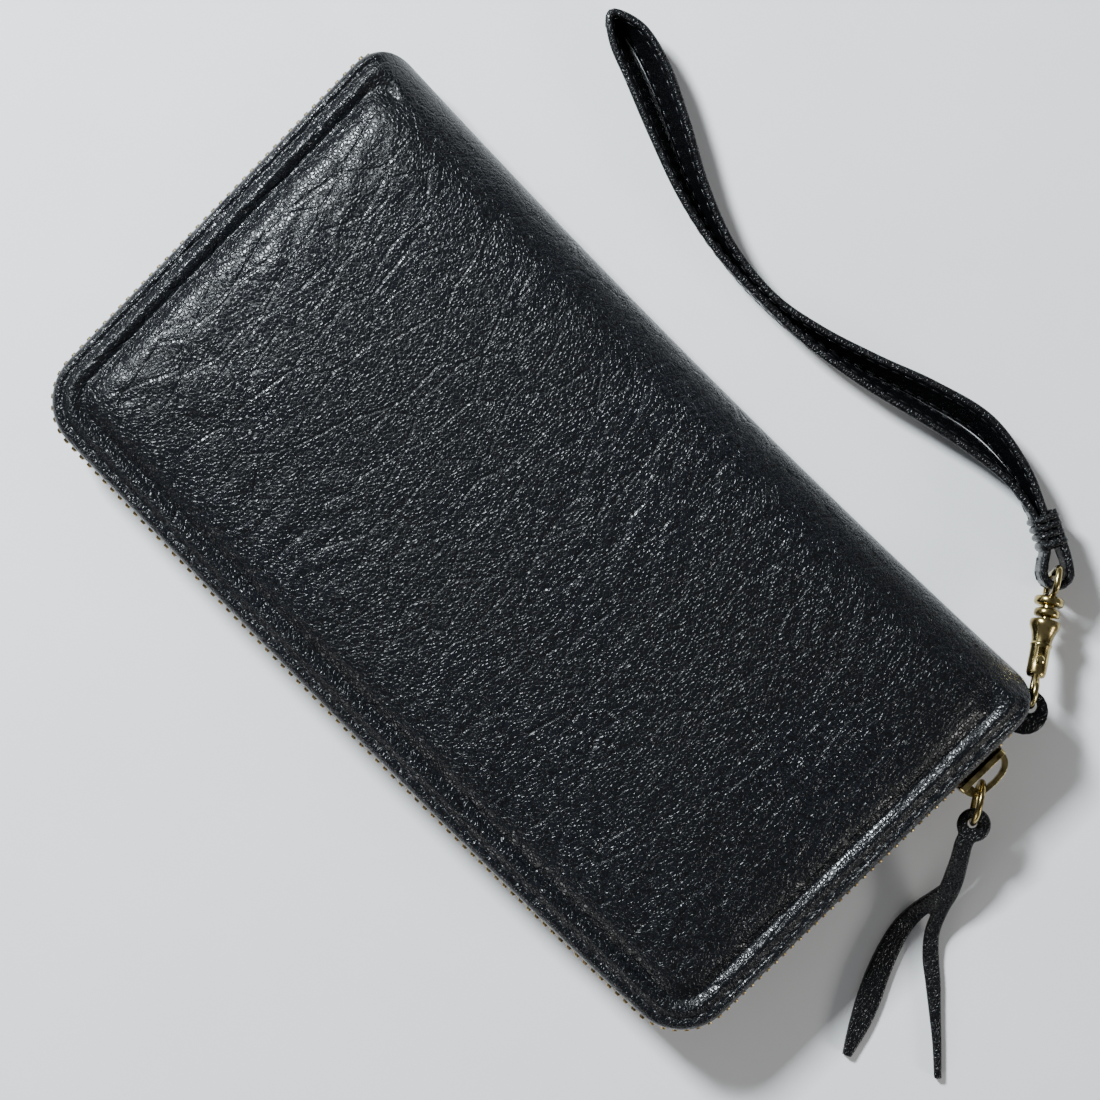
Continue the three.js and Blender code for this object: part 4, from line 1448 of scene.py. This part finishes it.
        kinds = [part(f) for f in bm.faces]
        cut = bpy.data.meshes.new("cut")
        bm.to_mesh(cut)
        bm.free()
        made = {}
        for name in sorted(set(kinds)):
            piece = bmesh.new()
            piece.from_mesh(cut)
            piece.faces.ensure_lookup_table()
            gone = [f for f, kind in zip(piece.faces, kinds) if kind != name]
            bmesh.ops.delete(piece, geom=gone, context="FACES")
            mesh = bpy.data.meshes.new(name)
            piece.to_mesh(mesh)
            piece.free()
            mesh.materials.append(self.palette.cover)
            obj = bpy.data.objects.new(name, mesh)
            bpy.context.scene.collection.objects.link(obj)
            solid = obj.modifiers.new("Leather", "SOLIDIFY")
            solid.thickness = self.skin * MM
            solid.offset = -1
            made[name] = bake(obj)
        bpy.data.meshes.remove(cut)
        bpy.data.objects.remove(whole)
        return made

    def border_path(self, side: Side, inset: float, lift: float) -> ArrayLike:
        """Path round the three zip sides at an inset from the cover's edge, on the leather.

        Args:
            side: Which half.
            inset: Distance in from the edge.
            lift: Height above the leather.

        Returns:
            The path.
        """
        table = np.array(self.relief(side)[4:])
        height = float(np.interp(inset, table[:, 0], table[:, 1])) + lift
        flat = self.plan.run(self.plan.lip + inset, right_end=44.5, left_end=46.5)
        return at_height(flat, MID + side.value * height)

    def build(self) -> None:
        """Makes the leather, its spine and its stitches, and settles the covers and stitches."""
        halves = []
        for side, cap, depth in ((Side.BACK, 0.35, 0.25), (Side.FRONT, 0.8, 0.6)):
            surface, free = self.skin_surface(side)
            self.puff(surface, free, cap)
            subdivide(surface)
            self.crease(surface, side, depth)
            halves.append(surface)
        whole = join("cover_wrap", halves)
        bm = bmesh.new()
        bm.from_mesh(whole.data)
        middle = [v for v in bm.verts if abs(v.co.z - MID * MM) < 0.06 * MM]
        bmesh.ops.remove_doubles(bm, verts=middle, dist=0.12 * MM)
        for face in bm.faces:
            face.smooth = True
        bm.to_mesh(whole.data)
        bm.free()
        parts = self.split(whole)
        for side in Side:
            leather = parts[f"{side.word}_cover_leather"]
            settle(leather, side.body, Slot.COVER, f"{side.word}_cover")
            thread = Repeat(f"{side.word}_border_stitches", self.shapes.stitch(2.4, 0.62, 0.5),
                            self.palette.thread, self.stitch_pitch, sway=3)
            settle(thread.along(self.border_path(side, self.stitch_inset, 0.05)), side.body, Slot.COVER)
        spine = parts["spine_leather"]
        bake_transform(spine)
        LOG.info("spine_leather: %d faces bending between the halves", len(spine.data.polygons))


# ---------------------------------------------------------------------------
# Zip
# ---------------------------------------------------------------------------


@dataclass
class MainZip:
    """Tapes, teeth and stops of the zip that closes the wallet, with its slider."""

    plan: Plan
    palette: Palette
    shapes: SmallShapes
    pitch: float = 2.3
    tooth: tuple[float, float, float, float] = (1.18, 2.4, -3.2, 0.75)
    tape_in: float = 1.15
    tape: float = 0.5
    sewn: float = 2.75

    def tapes(self) -> None:
        """Woven tapes, each from its teeth out to where it is sewn into the cover."""
        section = [(self.tape_in, 3.25), (self.tape_in, 3.9), (self.tape_in + 0.1, 4.5), (self.tape_in + 0.6, 5.0),
                   (self.sewn - 0.4, 5.6), (self.sewn, 6.1), (self.sewn, 7.0)]
        back = [(i + self.tape, h) for i, h in section]
        for side in Side:
            lines = section + back[::-1]
            rings = [at_height(self.plan.run(inset), MID + side.value * height) for inset, height in lines]
            stacked = np.stack(rings, axis=1)
            made = loft(f"{side.word}_zip_tape_woven", list(stacked), self.palette.tape)
            settle(outward(made), side.body, Slot.TAPE, f"{side.word}_zip_tape")

    def teeth(self) -> None:
        """Two rows of teeth in mesh, half a pitch apart."""
        width, depth, low, high = self.tooth
        for side, start in ((Side.BACK, 0.6), (Side.FRONT, 0.6 + self.pitch / 2)):
            ends = (low, high) if side is Side.BACK else (-low, -high)
            shape = self.shapes.tooth(width, depth, *ends)
            row = Repeat(f"{side.word}_zip_tooth_row", shape, self.palette.teeth, self.pitch)
            path = at_height(self.plan.run(depth / 2, start=start), MID)
            settle(row.along(path), side.body, Slot.BRASS, f"{side.word}_zip_teeth")

    def stops(self) -> None:
        """Crimped stops at the ends of the rows."""
        for node, body in (("zip_stop_back", "back_half"), ("zip_stop_front", "front_half"),
                           ("zip_end_stop", "back_half")):
            settle(refined(node, f"{node}_crimped", self.palette.teeth, 0.25), body, Slot.BRASS, node)

    def slider(self) -> None:
        """Cast slider with a rounded bail, finger ribs and a plain panel."""
        body = refined("main_zip_slider", "main_zip_slider_cast", self.palette.brass, 0.28)
        settle(body, "main_slider", Slot.BRASS, "main_zip_slider")

    def build(self) -> None:
        """Makes and settles the zip."""
        self.tapes()
        self.teeth()
        self.stops()
        self.slider()


@dataclass
class SplitPull:
    """The ring on the slider and the leather thong with two tails."""

    palette: Palette
    ring_at: Point = (102.9, 29.0, 12.1)
    ring_radius: float = 4.4
    ring_wire: float = 0.65
    heading: float = -58.3
    height: float = 11.2
    thick: float = 1.8

    def ring(self) -> None:
        """The wire ring."""
        turn = np.linspace(0, 2 * np.pi, 64, endpoint=False)
        a = math.radians(self.heading)
        along = np.array([math.cos(a), math.sin(a), 0])
        path = np.array(self.ring_at) + self.ring_radius * (np.outer(np.cos(turn), along)
                                                            + np.outer(np.sin(turn), [0, 0, 1.0]))
        axis = np.array([-math.sin(a), math.cos(a), 0])
        turns = np.linspace(0, 2 * np.pi, 16, endpoint=False)
        rings = []
        for p in path:
            out = (p - np.array(self.ring_at)) / self.ring_radius
            rings.append(p + self.ring_wire * (np.outer(np.cos(turns), out) + np.outer(np.sin(turns), axis)))
        rings.append(rings[0])
        made = outward(loft("pull_ring_wire", rings, self.palette.brass, caps=False), merge=0.02)
        settle(made, "ring", Slot.BRASS, "pull_ring")

    def leather(self) -> None:
        """Head, neck and two tapering tails in one piece of leather."""
        a = math.radians(self.heading)
        hx = self.ring_at[0] + self.ring_radius * math.cos(a)
        hy = self.ring_at[1] + self.ring_radius * math.sin(a)
        top = self.height + self.thick / 2
        neck = smooth_path([
            (hx + 0.9, hy - 1.2, top, 4.0), (106.8, 21.4, top - 0.3, 3.8), (108.9, 18.1, top - 1.7, 3.9),
            (111.2, 14.6, 8.0, 4.3), (112.9, 11.4, 6.2, 4.2), (114.6, 8.0, 4.3, 3.2), (117.1, 3.2, 2.1, 3.2),
            (120.6, -0.6, 1.1, 3.5), (124.6, -3.9, 0.95, 3.3), (129.5, -8.2, 0.9, 2.6), (134.4, -12.5, 0.9, 2.0),
            (140.1, -17.9, 0.9, 1.6)], 130)
        branch = smooth_path([
            (111.2, 15.0, 8.1, 3.2), (112.2, 12.6, 7.0, 3.4), (112.0, 9.3, 5.2, 3.3), (111.6, 4.3, 2.6, 3.7),
            (111.9, -0.5, 1.2, 4.2), (113.3, -5.8, 0.95, 4.7), (115.3, -11.1, 0.9, 5.1), (117.9, -16.6, 0.9, 5.2),
            (120.1, -21.4, 0.9, 4.4), (121.7, -25.2, 0.9, 3.1), (123.0, -28.2, 0.9, 1.9)], 120)
        parts = [band("neck", neck, neck[:, 3], self.thick, self.palette.strap),
                 band("branch", branch, branch[:, 3], self.thick, self.palette.strap)]
        turn = np.linspace(0, 2 * np.pi, 40, endpoint=False)
        rings = []
        for inner, level in ((0.5, -0.5), (0.12, -0.38), (0.0, -0.1), (0.0, 0.1), (0.12, 0.38), (0.5, 0.5)):
            r = 3.6 - inner
            rings.append(np.column_stack([hx + 0.5 + r * np.cos(turn), hy - 0.1 + r * np.sin(turn),
                                          np.full(40, top + level * self.thick)]))
        parts.append(outward(loft("head", rings, self.palette.strap)))
        whole = join("leather_pull_thong", parts)
        hole = outward(loft("hole", [np.column_stack([hx + 1.1 * np.cos(turn), hy + 1.1 * np.sin(turn),
                                                      np.full(40, z)]) for z in (top - 3, top + 3)],
                            self.palette.strap))
        remesh = whole.modifiers.new("One leather", "REMESH")
        remesh.mode = "VOXEL"
        remesh.voxel_size = 0.28 * MM
        cut = whole.modifiers.new("Hole", "BOOLEAN")
        cut.operation = "DIFFERENCE"
        cut.object = hole
        cut.solver = "EXACT"
        relax = whole.modifiers.new("Relax", "SMOOTH")
        relax.factor, relax.iterations = 0.5, 4
        bake(whole)
        bpy.data.objects.remove(hole)
        mesh = whole.data
        mesh.materials.clear()
        mesh.materials.append(self.palette.strap)
        mesh.materials.append(self.palette.edge)
        for polygon in mesh.polygons:
            polygon.use_smooth = True
            polygon.material_index = 1 if abs(polygon.normal.z) < 0.3 else 0
        settle(whole, "pull", Slot.STRAP, "leather_pull")

    def build(self) -> None:
        """Makes and settles the ring and the thong."""
        self.ring()
        self.leather()


# ---------------------------------------------------------------------------
# Snap and strap
# ---------------------------------------------------------------------------


@dataclass
class SwivelSnap:
    """The leather tab, the snap hook with its bolt, and the swivel eye."""

    palette: Palette
    hole: tuple[float, float] = (96.4, 51.0)
    drop: float = 0.5
    length: float = 29.0
    eye_height: float = 6.7
    strap_height: float = 8.8
    bolt_z: float = -0.7

    def place(self) -> Matrix:
        """Matrix from the snap's own frame, along +X from the hook's bend, to the wallet's."""
        pitch = math.asin((MID - self.drop - self.eye_height) / self.length)
        heading = math.atan2(0.841, -0.541)
        return (Matrix.Translation(Vector((*self.hole, MID - self.drop)) * MM)
                @ Matrix.Rotation(heading, 4, "Z") @ Matrix.Rotation(pitch, 4, "Y"))

    def put(self, obj: bpy.types.Object, body: str, slot: Slot, node: str) -> None:
        """Places a piece made in the snap's own frame and settles it."""
        obj.data.transform(self.place())
        settle(obj, body, slot, node)

    def hook(self) -> None:
        """Turned barrel with a flared collar, bolt slot and bent hook."""
        barrel = revolve("barrel", (
            (6.2, 0.0), (6.2, 1.5), (6.35, 1.8), (6.7, 2.0), (7.2, 2.1), (8.2, 2.12), (12.6, 2.12), (12.9, 2.3),
            (13.2, 2.3), (13.5, 2.12), (14.4, 2.2), (15.6, 2.5), (16.6, 3.0), (17.1, 3.2), (17.9, 3.25), (18.3, 3.1),
            (18.4, 2.8), (18.4, 1.35), (17.2, 1.35), (17.2, 0.0)), self.palette.brass)
        slot = mesh_object("slot", np.array([(x, y, z) for x in (8.7, 12.4) for y in (-0.75, 0.75)
                                             for z in (self.bolt_z, 3.0)]),
                           [(0, 1, 3, 2), (4, 6, 7, 5), (0, 4, 5, 1), (2, 3, 7, 6), (0, 2, 6, 4), (1, 5, 7, 3)])
        outward(slot)
        cut = barrel.modifiers.new("Slot", "BOOLEAN")
        cut.object = slot
        cut.operation = "DIFFERENCE"
        cut.solver = "EXACT"
        bake(barrel)
        bpy.data.objects.remove(slot)
        sharpen(barrel, 35)
        bend = smooth_path([(7.4, 0, 1), (5.4, 0, 1.9), (3.9, 0, 3.2), (1.9, 0, 3.3), (0.4, 0, 2.3),
                            (-0.1, 0, 0.8), (0.4, 0, -0.5), (1.8, 0, -0.85)], 60)
        rod = tube("rod", bend, 0.72, self.palette.brass)
        self.put(join("snap_hook_cast", [barrel, rod]), "snap", Slot.BRASS, "snap_body")

    def bolt(self) -> None:
        """Spring bolt with its thumb knob."""
        shaft = revolve("shaft", ((2.4, 0.0), (2.4, 0.4), (2.6, 0.6), (3.0, 0.65), (8.6, 0.65), (8.9, 0.42),
                                  (11.0, 0.42), (11.0, 0.0)), self.palette.brass, 24)
        stem = revolve("stem", ((0.0, 0.0), (0.0, 0.5), (2.9, 0.5), (3.05, 0.85), (3.3, 0.95), (3.6, 0.9),
                                (3.85, 0.6), (3.9, 0.0)), self.palette.brass, 24)
        stem.data.transform(Matrix.Rotation(math.radians(-90), 4, "Y"))
        stem.data.transform(Matrix.Translation((9.6 * MM, 0, 0)))
        whole = sharpen(join("snap_bolt_turned", [shaft, stem]), 35)
        whole.data.transform(Matrix.Translation((0, 0, self.bolt_z * MM)))
        self.put(whole, "bolt", Slot.BRASS, "snap_bolt")

    def eye(self) -> None:
        """Swivel post with two discs and the wire eye."""
        post = revolve("post", (
            (17.4, 0.0), (17.4, 1.2), (19.0, 1.2), (19.15, 2.3), (19.35, 2.65), (19.7, 2.75), (20.3, 2.75),
            (20.65, 2.6), (20.85, 2.1), (21.0, 1.6), (21.45, 1.6), (21.6, 2.6), (21.8, 3.0), (22.1, 3.15),
            (23.0, 3.15), (23.3, 2.95), (23.45, 2.3), (23.6, 1.5), (24.0, 1.25), (24.3, 0.9), (24.3, 0.0)),
            self.palette.brass)
        sharpen(post, 50)
        half = self.strap_height / 2 + 1.45
        loop = smooth_path([(23.4, 0, 0.8), (23.7, 0, 2.6), (24, 0, half - 1.2), (25, 0, half), (27.9, 0, half),
                            (28.9, 0, half - 0.8), (29, 0, 0), (28.9, 0, -half + 0.8), (27.9, 0, -half),
                            (25, 0, -half), (24, 0, -half + 1.2), (23.7, 0, -2.6), (23.4, 0, -0.8)], 110)
        wire = tube("wire", loop, 0.72, self.palette.brass)
        self.put(join("swivel_eye_turned", [post, wire]), "eye", Slot.BRASS, "swivel_eye")

    def tab(self) -> None:
        """The leather tab on the spine's end, with dyed edges."""
        made = refined("spine_tab", "spine_tab_leather", self.palette.cover, 0.35)
        made.data.materials.append(self.palette.edge)
        for polygon in made.data.polygons:
            polygon.material_index = 1 if abs(polygon.normal.z) < 0.3 else 0
        settle(made, "back_half", Slot.COVER, "spine_tab")

    def build(self) -> None:
        """Makes and settles the tab and the snap."""
        self.hook()
        self.bolt()
        self.eye()
        self.tab()


STRAP_LINE = (
    (76.4, 77.8, 3.7, 1.8), (70, 81, 3.8, 1.3), (61, 83.7, 6.6, 0.6), (49, 84.2, 10, 0), (36, 81.2, 9.6, 0),
    (24, 77.5, 8, 0), (10, 74.2, 5.6, 0), (-2, 73, 3.8, 0), (-16, 74, 5, 0), (-29, 77.7, 7.4, 0),
    (-43, 83.9, 9.9, 0), (-54, 88.7, 10.6, 0), (-63, 91.4, 8.6, 0),
)


@dataclass
class WristStrap:
    """One leather band folded into a loop, standing on its edge, its ends sewn round the eye."""

    palette: Palette
    shapes: SmallShapes
    snap: SwivelSnap
    thick: float = 1.6
    gap: float = 0.3
    tip: tuple[float, float] = (-68.2, 92.0)
    foot_tip: tuple[float, float] = (-67.0, 91.9)
    spread: float = 9.0
    foot: float = 0.68
    fold_radius: float = 2.85
    wrapped: int = 2

    def strand(self, sign: int, spread: float, layers: int = 0) -> list[list[float]]:
        """Points of one edge of one strand; extra layers lie outside it.

        Args:
            sign: 1 for the upper strand, -1 for the lower.
            spread: Furthest that it stands from the loop's middle.
            layers: Layers of leather inside it.

        Returns:
            Its points.
        """
        line = np.array(STRAP_LINE)
        tangent = np.gradient(line[:, :2], axis=0)
        tangent[0] = line[1, :2] - line[0, :2]
        tangent[-1] = line[-1, :2] - line[-2, :2]
        tangent /= np.linalg.norm(tangent, axis=1)[:, None]
        across = np.column_stack([tangent[:, 1], -tangent[:, 0]])
        apart = np.minimum((line[:, 2] - self.thick) / 2, spread)
        off = sign * (apart + layers * (self.thick + self.gap / 2))
        spots = line[:, :2] + across * off[:, None]
        return [[x, y, z] for (x, y), z in zip(spots, line[:, 3])]

    def wire(self) -> tuple[float, float]:
        """Where the eye's far wire stands."""
        snap = self.snap
        pitch = math.asin((MID - snap.drop - snap.eye_height) / snap.length)
        along = snap.length * math.cos(pitch)
        heading = math.atan2(0.841, -0.541)
        return snap.hole[0] + along * math.cos(heading), snap.hole[1] + along * math.sin(heading)

    def edge(self, spread: float, tip: tuple[float, float]) -> list[list[float]]:
        """One edge of the band, from its inner end round the loop and the eye to its outer end.

        Args:
            spread: Half the distance between the strands.
            tip: Where the loop turns.

        Returns:
            Points of the edge.
        """
        wx, wy = self.wire()
        heading = math.atan2(wy - STRAP_LINE[0][1], wx - STRAP_LINE[0][0])
        fold = [[wx + self.fold_radius * math.cos(heading + math.radians(d)),
                 wy + self.fold_radius * math.sin(heading + math.radians(d)), 2.3]
                for d in (-105, -55, 0, 55, 100)]
        return (self.strand(1, spread) + [[*tip, 0]] + self.strand(-1, spread)[::-1] + fold
                + self.strand(1, spread, 1)[:self.wrapped])

    def keeper(self) -> bpy.types.Object:
        """Four rounded wraps round the strands where they meet, all in the strap's leather: a wider one and three
        narrower.
        """
        parts = []
        first, second = np.array(STRAP_LINE[0]), np.array(STRAP_LINE[1])
        along = (second - first)[:2] / np.linalg.norm((second - first)[:2])
        square = np.array([along[1], -along[0]])
        turn = np.linspace(0, 2 * np.pi, 40, endpoint=False)
        for share, half, swell in ((0.08, 1.0, 1.0), (0.36, 0.8, 0.85), (0.6, 0.8, 0.8), (0.84, 0.8, 0.75)):
            centre = first + (second - first) * share
            wide, high = 1.85 + 0.9 + swell * 0.3, self.snap.strap_height / 2 + 0.35 * swell
            rings = []
            for offset, grow in ((-half, -0.35), (-half * 0.6, 0.1), (0.0, 0.28), (half * 0.6, 0.1), (half, -0.35)):
                lean = np.sign(np.cos(turn)) * np.abs(np.cos(turn)) ** 0.45 * (wide + grow)
                lift = np.sign(np.sin(turn)) * np.abs(np.sin(turn)) ** 0.45 * (high + grow)
                flat = centre[:2] + along * offset + square * 0.85 + np.outer(lean, square)
                rings.append(np.column_stack([flat, centre[3] + self.snap.strap_height / 2 + lift]))
            parts.append(outward(loft(f"wrap_{share}", rings, self.palette.strap)))
        return join("strap_keeper_wraps", parts)

    def build(self) -> None:
        """Makes the band and its stitches and settles them."""
        height = self.snap.strap_height
        upper = np.array(self.edge(self.spread, self.tip)) + np.array([0, 0, height])
        lower = np.array(self.edge(self.foot, self.foot_tip))
        both = smooth_path(np.hstack([upper, lower]), 420)
        across = both[:, :3] - both[:, 3:]
        widths = np.linalg.norm(across, axis=1)
        middle = (both[:, :3] + both[:, 3:]) / 2
        made = band("wrist_strap_band", middle, widths, self.thick, self.palette.strap,
                    across=across / widths[:, None], soften=0.5)
        settle(made, "strap", Slot.STRAP, "wrist_strap")
        settle(self.keeper(), "strap", Slot.STRAP)
        stitch = self.shapes.stitch(2.0, 0.36, 0.24)
        face = np.cross(across / widths[:, None], np.gradient(middle, axis=0))
        face /= np.linalg.norm(face, axis=1)[:, None]
        lines = [middle[8:-8] + (across / widths[:, None])[8:-8] * (sign * (height / 2 - 1.3))
                 + face[8:-8] * (out * (self.thick / 2 - 0.02)) for sign in (1, -1) for out in (1, -1)]
        thread = Repeat("strap_stitches", stitch, self.palette.thread, 3.0, sway=3)
        settle(thread.along(*lines), "strap", Slot.STRAP)


# ---------------------------------------------------------------------------
# Inside
# ---------------------------------------------------------------------------


# Height off the middle plane and distance along X of a gusset's fold, from the cover to the crease.
GUSSET_FOLD = ((5.4, 90.0), (4.6, 85.0), (3.5, 74.5), (2.7, 77.5), (1.7, 83.4), (0.8, 84.8), (0, 85.0))
GUSSET_THICK = 0.35


@dataclass
class Inside:
    """Linings, card pockets, the middle coin pocket with its zip, gussets and hidden stiffening."""

    palette: Palette
    shapes: SmallShapes
    hem: float = 1.6

    def sheet(self, node: str, name: str, material: bpy.types.Material, radius: float = 3.0,
              bow: float = 0.12) -> bpy.types.Object:
        """A thin sheet with rounded corners and soft edges in a CAD slab's box.

        Args:
            node: CAD node whose box it fills.
            name: Name of the piece.
            material: Its material.
            radius: Corner radius in millimetres.
            bow: How far it waves out of flat in millimetres.

        Returns:
            The sheet.
        """
        low, high = (np.array(c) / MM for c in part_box(node))
        nx = max(int((high[0] - low[0]) / 4), 6)
        ny = max(int((high[1] - low[1]) / 4), 5)
        thick = high[2] - low[2]

        def ring(inset: float) -> ArrayLike:
            """Outline of the sheet at an inset."""
            r = max(radius - inset, 0.2)
            x0, y0, x1, y1 = low[0] + inset, low[1] + inset, high[0] - inset, high[1] - inset
            spots = []
            for cx, cy, start in ((x0 + r, y0 + r, 180), (x1 - r, y0 + r, 270), (x1 - r, y1 - r, 0),
                                  (x0 + r, y1 - r, 90)):
                for d in np.linspace(start, start + 90, 7):
                    spots.append((cx + r * math.cos(math.radians(d)), cy + r * math.sin(math.radians(d))))
            spots = np.array(spots)
            full = []
            for i in range(28):
                a, b = spots[i], spots[(i + 1) % 28]
                full.append(a)
                if i % 7 == 6:
                    steps = nx if i in (6, 20) else ny
                    full += [a + (b - a) * t for t in np.linspace(0, 1, steps + 1)[1:-1]]
            return np.array(full)

        rings = []
        edge = thick * 0.3
        for inset, level in ((0.0, 0.5), (edge * 0.3, 0.82), (edge, 1.0), (self.hem * 0.8, 1.0),
                             (self.hem, 0.86), (self.hem * 1.25, 0.97), (self.hem * 3, 0.97)):
            rings.append(at_height(ring(inset), low[2] + thick * level))
        upper = rings
        lower = [np.column_stack([r[:, :2], 2 * low[2] + thick - r[:, 2]]) for r in rings[1:]]
        made = loft(name, lower[::-1] + upper, material)
        outward(made)
        for vertex in made.data.vertices:
            x, y = vertex.co.x / MM, vertex.co.y / MM
            vertex.co.z += bow * thick * 0.5 * wave(x, y, 22, low[2]) * MM
        return made

    def pockets(self) -> None:
        """Card pockets and their panels in both halves, with stitched edges."""
        stitch = self.shapes.stitch(1.9, 0.4, 0.25)
        for side in Side:
            node = f"{side.word}_card_panel"
            settle(self.sheet(node, f"{node}_sheet", self.palette.lining), side.body, Slot.LINING, node)
            paths = []
            for column in ("left", "right"):
                for row in (1, 2):
                    node = f"{side.word}_card_pocket_{column}_{row}"
                    piece = self.sheet(node, f"{node}_leather", self.palette.pocket)
                    settle(piece, side.body, Slot.COVER, node)
                    low, high = (np.array(c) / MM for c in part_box(node))
                    face = high[2] if side is Side.BACK else low[2]
                    x0, x1, y0, y1 = low[0] + 1.6, high[0] - 1.6, low[1] + 1.6, high[1] - 3
                    paths.append(np.array([(x0, y1, face), (x0, y0, face), (x1, y0, face), (x1, y1, face)]))
            row = Repeat(f"{side.word}_pocket_stitches", stitch, self.palette.thread, 2.8, sway=2)
            settle(row.along(*paths), side.body, Slot.COVER)

    def linings(self) -> None:
        """Lining cloth, board and foam in both halves."""
        for side in Side:
            node = f"{side.word}_lining"
            settle(self.sheet(node, f"{node}_cloth", self.palette.lining, 9), side.body, Slot.LINING, node)
            for word, material in (("board", self.palette.board), ("padding", self.palette.foam)):
                self.dress(f"{side.word}_{word}", material)

    def dress(self, node: str, material: bpy.types.Material) -> None:
        """Gives a kept CAD node its material.

        Args:
            node: The node.
            material: Its material.
        """
        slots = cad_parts[node].material_slots
        if slots:
            for slot in slots:
                slot.material = material
        else:
            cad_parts[node].data.materials.append(material)

    def coin_pocket(self) -> None:
        """Middle pocket: two panels, two fine rows of teeth, a slider and its pull."""
        for word in ("back", "front"):
            node = f"coin_pocket_{word}"
            settle(self.sheet(node, f"{node}_cloth", self.palette.lining, 2), "coin_pocket", Slot.LINING, node)
            node = f"coin_zip_row_{word}"
            low, high = (np.array(c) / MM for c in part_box(node))
            middle, depth = (low + high) / 2, high[1] - low[1]
            near, far = (high[2] - MID, low[2] - MID) if word == "back" else (low[2] - MID, high[2] - MID)
            shape = self.shapes.tooth(0.85, depth, far, near - math.copysign(0.65, near))
            offset = 0.0 if word == "back" else 0.8
            path = np.array([(high[0] - offset, middle[1], MID), (low[0], middle[1], MID)])
            row = Repeat(f"{node}_teeth", shape, self.palette.teeth, 1.6)
            settle(row.along(path), "coin_pocket", Slot.BRASS, node)
        settle(refined("coin_zip_slider", "coin_zip_slider_cast", self.palette.brass, 0.15),
               "coin_slider", Slot.BRASS, "coin_zip_slider")
        settle(refined("coin_zip_pull", "coin_zip_pull_plate", self.palette.brass, 0.12),
               "coin_pull", Slot.BRASS, "coin_zip_pull")

    def gussets(self) -> None:
        """Folded end walls at both ends between the halves."""
        for word, sign in (("left", -1), ("right", 1)):
            node = f"gusset_{word}"
            low, high = (np.array(c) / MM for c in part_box(node))
            fold = [(x, h, 0) for h, x in GUSSET_FOLD] + [(x, -h, 0) for h, x in GUSSET_FOLD[-2::-1]]
            fold = smooth_path(fold, 60)
            rings = []
            for y in np.linspace(low[1], high[1], 21):
                rings.append(np.column_stack([sign * fold[:, 0], np.full(len(fold), y), MID + fold[:, 1]]))
            made = loft(f"{node}_cloth", rings, self.palette.lining, closed=False, caps=False)
            solid = made.modifiers.new("Cloth", "SOLIDIFY")
            solid.thickness = GUSSET_THICK * MM
            solid.offset = 0
            outward(bake(made))
            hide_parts(node)
            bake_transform(made)

    def build(self) -> None:
        """Makes and settles everything inside."""
        self.linings()
        self.pockets()
        self.coin_pocket()
        self.gussets()
        self.dress("snap_spring", self.palette.spring)


# ---------------------------------------------------------------------------
# Studio
# ---------------------------------------------------------------------------


@dataclass(frozen=True)
class Studio:
    """Pale floor, soft lights and the overhead camera."""

    centre: tuple[float, float] = (0.0026, 0.0032)
    distance: float = 0.65
    frame_width: float = 0.2294
    roll: float = 45.0

    def camera(self) -> None:
        """An overhead camera, turned so that the wallet lies on the slant."""
        data = bpy.data.cameras.new("camera")
        data.sensor_width = 36
        data.lens = 36 * self.distance / self.frame_width
        data.clip_start = 0.01
        camera = bpy.data.objects.new("camera", data)
        camera.location = (*self.centre, MID * MM + self.distance)
        camera.rotation_euler = (0, 0, math.radians(self.roll))
        bpy.context.scene.collection.objects.link(camera)
        bpy.context.scene.camera = camera

    def light(self, name: str, place: Point, size: tuple[float, float], power: float, colour: Point) -> None:
        """A soft rectangular light aimed at the wallet.

        Args:
            name: Name of the light.
            place: Where it stands.
            size: Its two sizes in metres.
            power: Its power in watts.
            colour: Its colour.
        """
        data = bpy.data.lights.new(name, "AREA")
        data.shape = "RECTANGLE"
        data.size, data.size_y = size
        data.energy = power
        data.color = colour
        lamp = bpy.data.objects.new(name, data)
        lamp.location = place
        lamp.rotation_euler = (Vector((0, 0, 0)) - Vector(place)).to_track_quat("-Z", "Y").to_euler()
        bpy.context.scene.collection.objects.link(lamp)

    def floor(self, material: bpy.types.Material) -> None:
        """The pale floor.

        Args:
            material: Its material.
        """
        size = 1500.0
        made = mesh_object("floor", np.array([(-size, -size, 0), (size, -size, 0), (size, size, 0),
                                              (-size, size, 0)]), [(0, 1, 2, 3)], material, smooth=False)
        made.location.z = -0.0002

    def build(self, material: bpy.types.Material) -> None:
        """Makes the floor and the lights."""
        self.floor(material)
        world = bpy.data.worlds.new("studio")
        world.use_nodes = True
        world.node_tree.nodes["Background"].inputs[0].default_value = (0.9, 0.94, 1.0, 1)
        world.node_tree.nodes["Background"].inputs[1].default_value = 0.16
        bpy.context.scene.world = world
        self.light("key", (-0.56, 0.04, 0.6), (0.15, 0.15), 15.5, (0.88, 0.95, 1.0))
        self.light("side", (0.2, -1.0, 0.3), (0.5, 0.2), 2.5, (1.0, 0.99, 0.97))
        self.light("far", (1.0, 0.2, 0.34), (0.3, 0.2), 4.0, (1.0, 0.98, 0.95))


def main() -> None:
    """Builds the scene in order and reports each piece."""
    logging.basicConfig(level=logging.INFO, format="%(name)s %(message)s")
    studio = Studio()
    studio.camera()
    palette = Palette()
    shapes = SmallShapes()
    plan = Plan()
    snap = SwivelSnap(palette)
    for group in (Covers(plan, palette, shapes), MainZip(plan, palette, shapes), SplitPull(palette), snap,
                  WristStrap(palette, shapes, snap), Inside(palette, shapes)):
        group.build()
        LOG.info("%s built", type(group).__name__)
    shapes.clear()
    studio.build(palette.floor)


if __name__ == "__main__":
    main()
